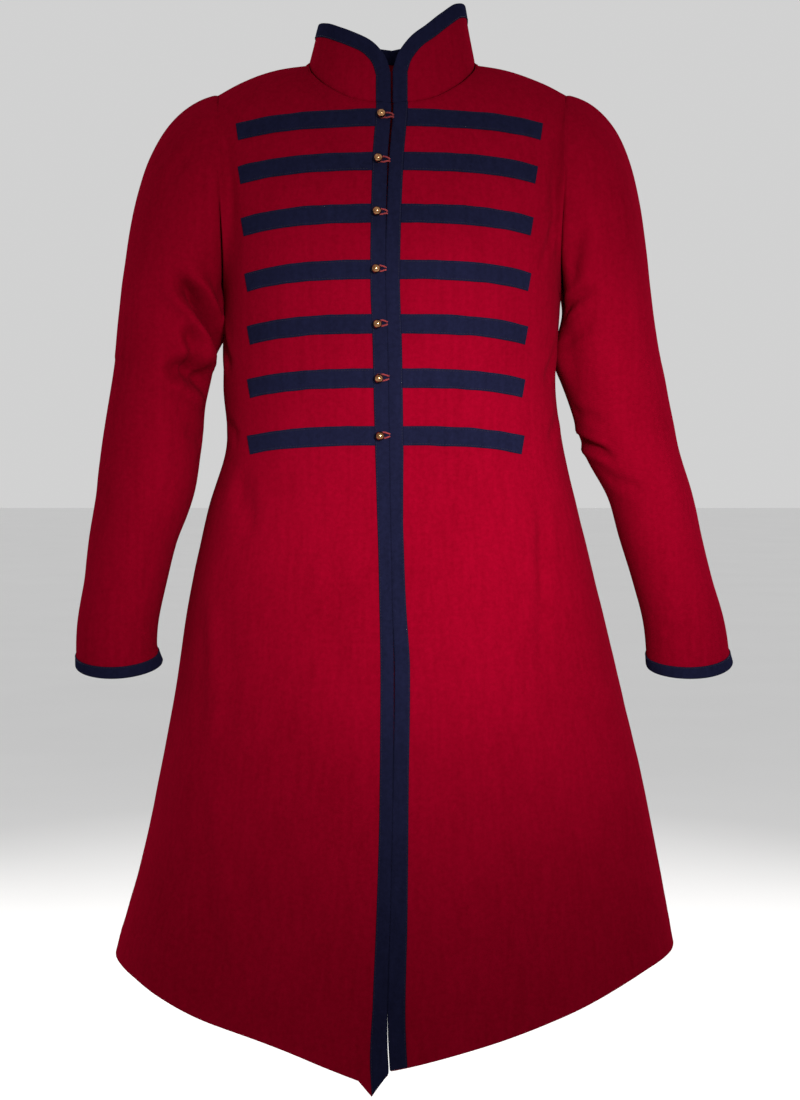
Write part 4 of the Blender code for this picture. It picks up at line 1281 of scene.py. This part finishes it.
def studio():
    """The photograph's camera, a pale floor far below the hem, and soft light."""
    data = bpy.data.cameras.new("photo_camera")
    data.sensor_width = SENSOR
    data.lens = SENSOR * CAMERA_AWAY / METRES_A_PIXEL / IMAGE_LONG_SIDE
    data.shift_y = (LEVEL_ROW - IMAGE_LONG_SIDE / 2) / IMAGE_LONG_SIDE
    camera = link_to_scene("photo_camera", data)
    camera.location = (CAMERA_ACROSS, -CAMERA_AWAY, CAMERA_HEIGHT)
    camera.rotation_euler = (math.pi / 2, 0.0, 0.0)
    bpy.context.scene.camera = camera

    half = FLOOR_HALF
    places = [(-half, -half, FLOOR), (half, -half, FLOOR), (half, half, FLOOR), (-half, half, FLOOR)]
    mesh = bpy.data.meshes.new("floor")
    mesh.from_pydata(places, [], [(0, 1, 2, 3)])
    mesh.materials.append(floor_material())
    floor = link_to_scene("floor", mesh)

    world = bpy.data.worlds.new("studio")
    world.use_nodes = True
    world.node_tree.nodes["Background"].inputs["Color"].default_value = (1.0, 1.0, 1.0, 1.0)
    world.node_tree.nodes["Background"].inputs["Strength"].default_value = SKY
    bpy.context.scene.world = world
    for name, place, size, power in BACK_LIGHTS:
        data = bpy.data.lights.new(name, "AREA")
        data.size = size
        add_light(name, data, place, BACK_AIM, power)
    for name, place, aim, radius, cone, power in FRONT_LIGHTS:
        data = bpy.data.lights.new(name, "SPOT")
        data.shadow_soft_size = radius
        data.spot_size = math.radians(cone)
        data.spot_blend = 1.0
        add_light(name, data, place, aim, power)
    bpy.context.scene.view_settings.view_transform = "Standard"


def dress(made, material, stands_for=None):
    """Gives a piece its material and slot, and hides the solid that it stands for."""
    made.data.materials.append(MATERIALS[material])
    if stands_for:
        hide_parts(stands_for)
    return made


def build():
    """Makes every piece. The cloth pieces are returned by the solids that they stand for."""
    cloth, fronts, binding_lines, bar_lines = {}, {}, [], []

    def wool(node, points, normals, closed=False):
        made = shell_mesh(f"wool_{node}", points, normals, WOOL, closed)
        cloth[node] = dress(made, "red_wool", node)

    def bind(name, node, *laid, **more):
        made, line = binding_mesh(name, *laid, **more)
        cloth[node] = dress(made, "navy_tape", node)
        binding_lines.append(line)

    for side, word in ((-1, "right"), (1, "left")):
        sheet = front_shell(side)
        out = outward(sheet, side)
        fronts[word] = (sheet, out)
        wool(f"front_{word}", sheet[:, ::side], out[:, ::side])
        edge = sheet[:, 0]
        across = sheet[:, fine_turns().index(HEM_POINT[1][0])] - edge
        broad = linear(TAPE_BROAD[side], 1, edge[:, 2])
        if side < 0:
            to_point = np.linalg.norm(across, axis=1) / EDGE_TAPE
            near_hem = np.clip((POINT_TAPE - edge[:, 2]) / (POINT_TAPE - edge[0, 2]), 0, 1)
            broad += (to_point - broad) * near_hem
        bind(
            f"tape_front_{word}", f"front_binding_{word}",
            sheet, edge, unit_rows(across), out[:, 0], EDGE_TAPE, broad,
        )

        sleeve = sleeve_shell(side)
        out = sheet_normals(sleeve, closed=True)
        wool(f"sleeve_{word}", sleeve, out, closed=True)
        inward = unit_rows(sleeve[-4] - sleeve[-1])
        bind(
            f"tape_cuff_{word}", f"cuff_binding_{word}",
            sleeve, sleeve[-1], inward, out[-1], CUFF_TAPE, closed=True,
        )

    back = back_shell()
    wool("back", back, sheet_normals(back))
    collar = collar_shell()
    out = sheet_normals(collar)
    wool("collar", collar, out)
    edge, edge_out = [
        np.concatenate([grid[:-1, 0], grid[-1], grid[-2::-1, -1]]) for grid in (collar, out)
    ]
    inward = unit_rows(np.cross(unit_rows(np.gradient(edge, axis=0)), edge_out))
    bind("tape_collar", "collar_binding", collar, edge, inward, edge_out, EDGE_TAPE)

    for number, height, right_reach, left_reach in BARS:
        for side, word, reach in ((-1, "right", right_reach), (1, "left", left_reach)):
            node = f"bar_{word}_{number}"
            made, lines = bar_shell(f"tape_{node}", fronts[word], height, reach, side)
            cloth[node] = dress(made, "navy_tape", node)
            bar_lines += lines
    for (number, height, _, _), (_, pull, wide, tilt) in zip(BARS, LOOPS):
        fastening(number, height, fronts, pull, wide, tilt)
    dress(stitch_rows("stitches_bindings", binding_lines), "navy_thread")
    dress(stitch_rows("stitches_bars", bar_lines), "navy_thread")
    return cloth


MATERIALS = {row[0]: cloth_material(*row) for row in CLOTHS}
MATERIALS |= {row[0]: thread_material(*row) for row in THREADS}
MATERIALS["polished_brass"] = brass_material()

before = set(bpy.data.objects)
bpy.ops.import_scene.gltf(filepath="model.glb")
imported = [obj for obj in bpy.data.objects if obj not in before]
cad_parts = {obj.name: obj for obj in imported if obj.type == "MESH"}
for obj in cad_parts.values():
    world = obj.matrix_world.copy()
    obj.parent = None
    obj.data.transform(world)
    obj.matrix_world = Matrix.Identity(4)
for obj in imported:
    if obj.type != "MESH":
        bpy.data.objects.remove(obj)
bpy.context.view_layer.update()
for node, made in build().items():
    width, length, area, held, rests_on = CUTS[node]
studio()
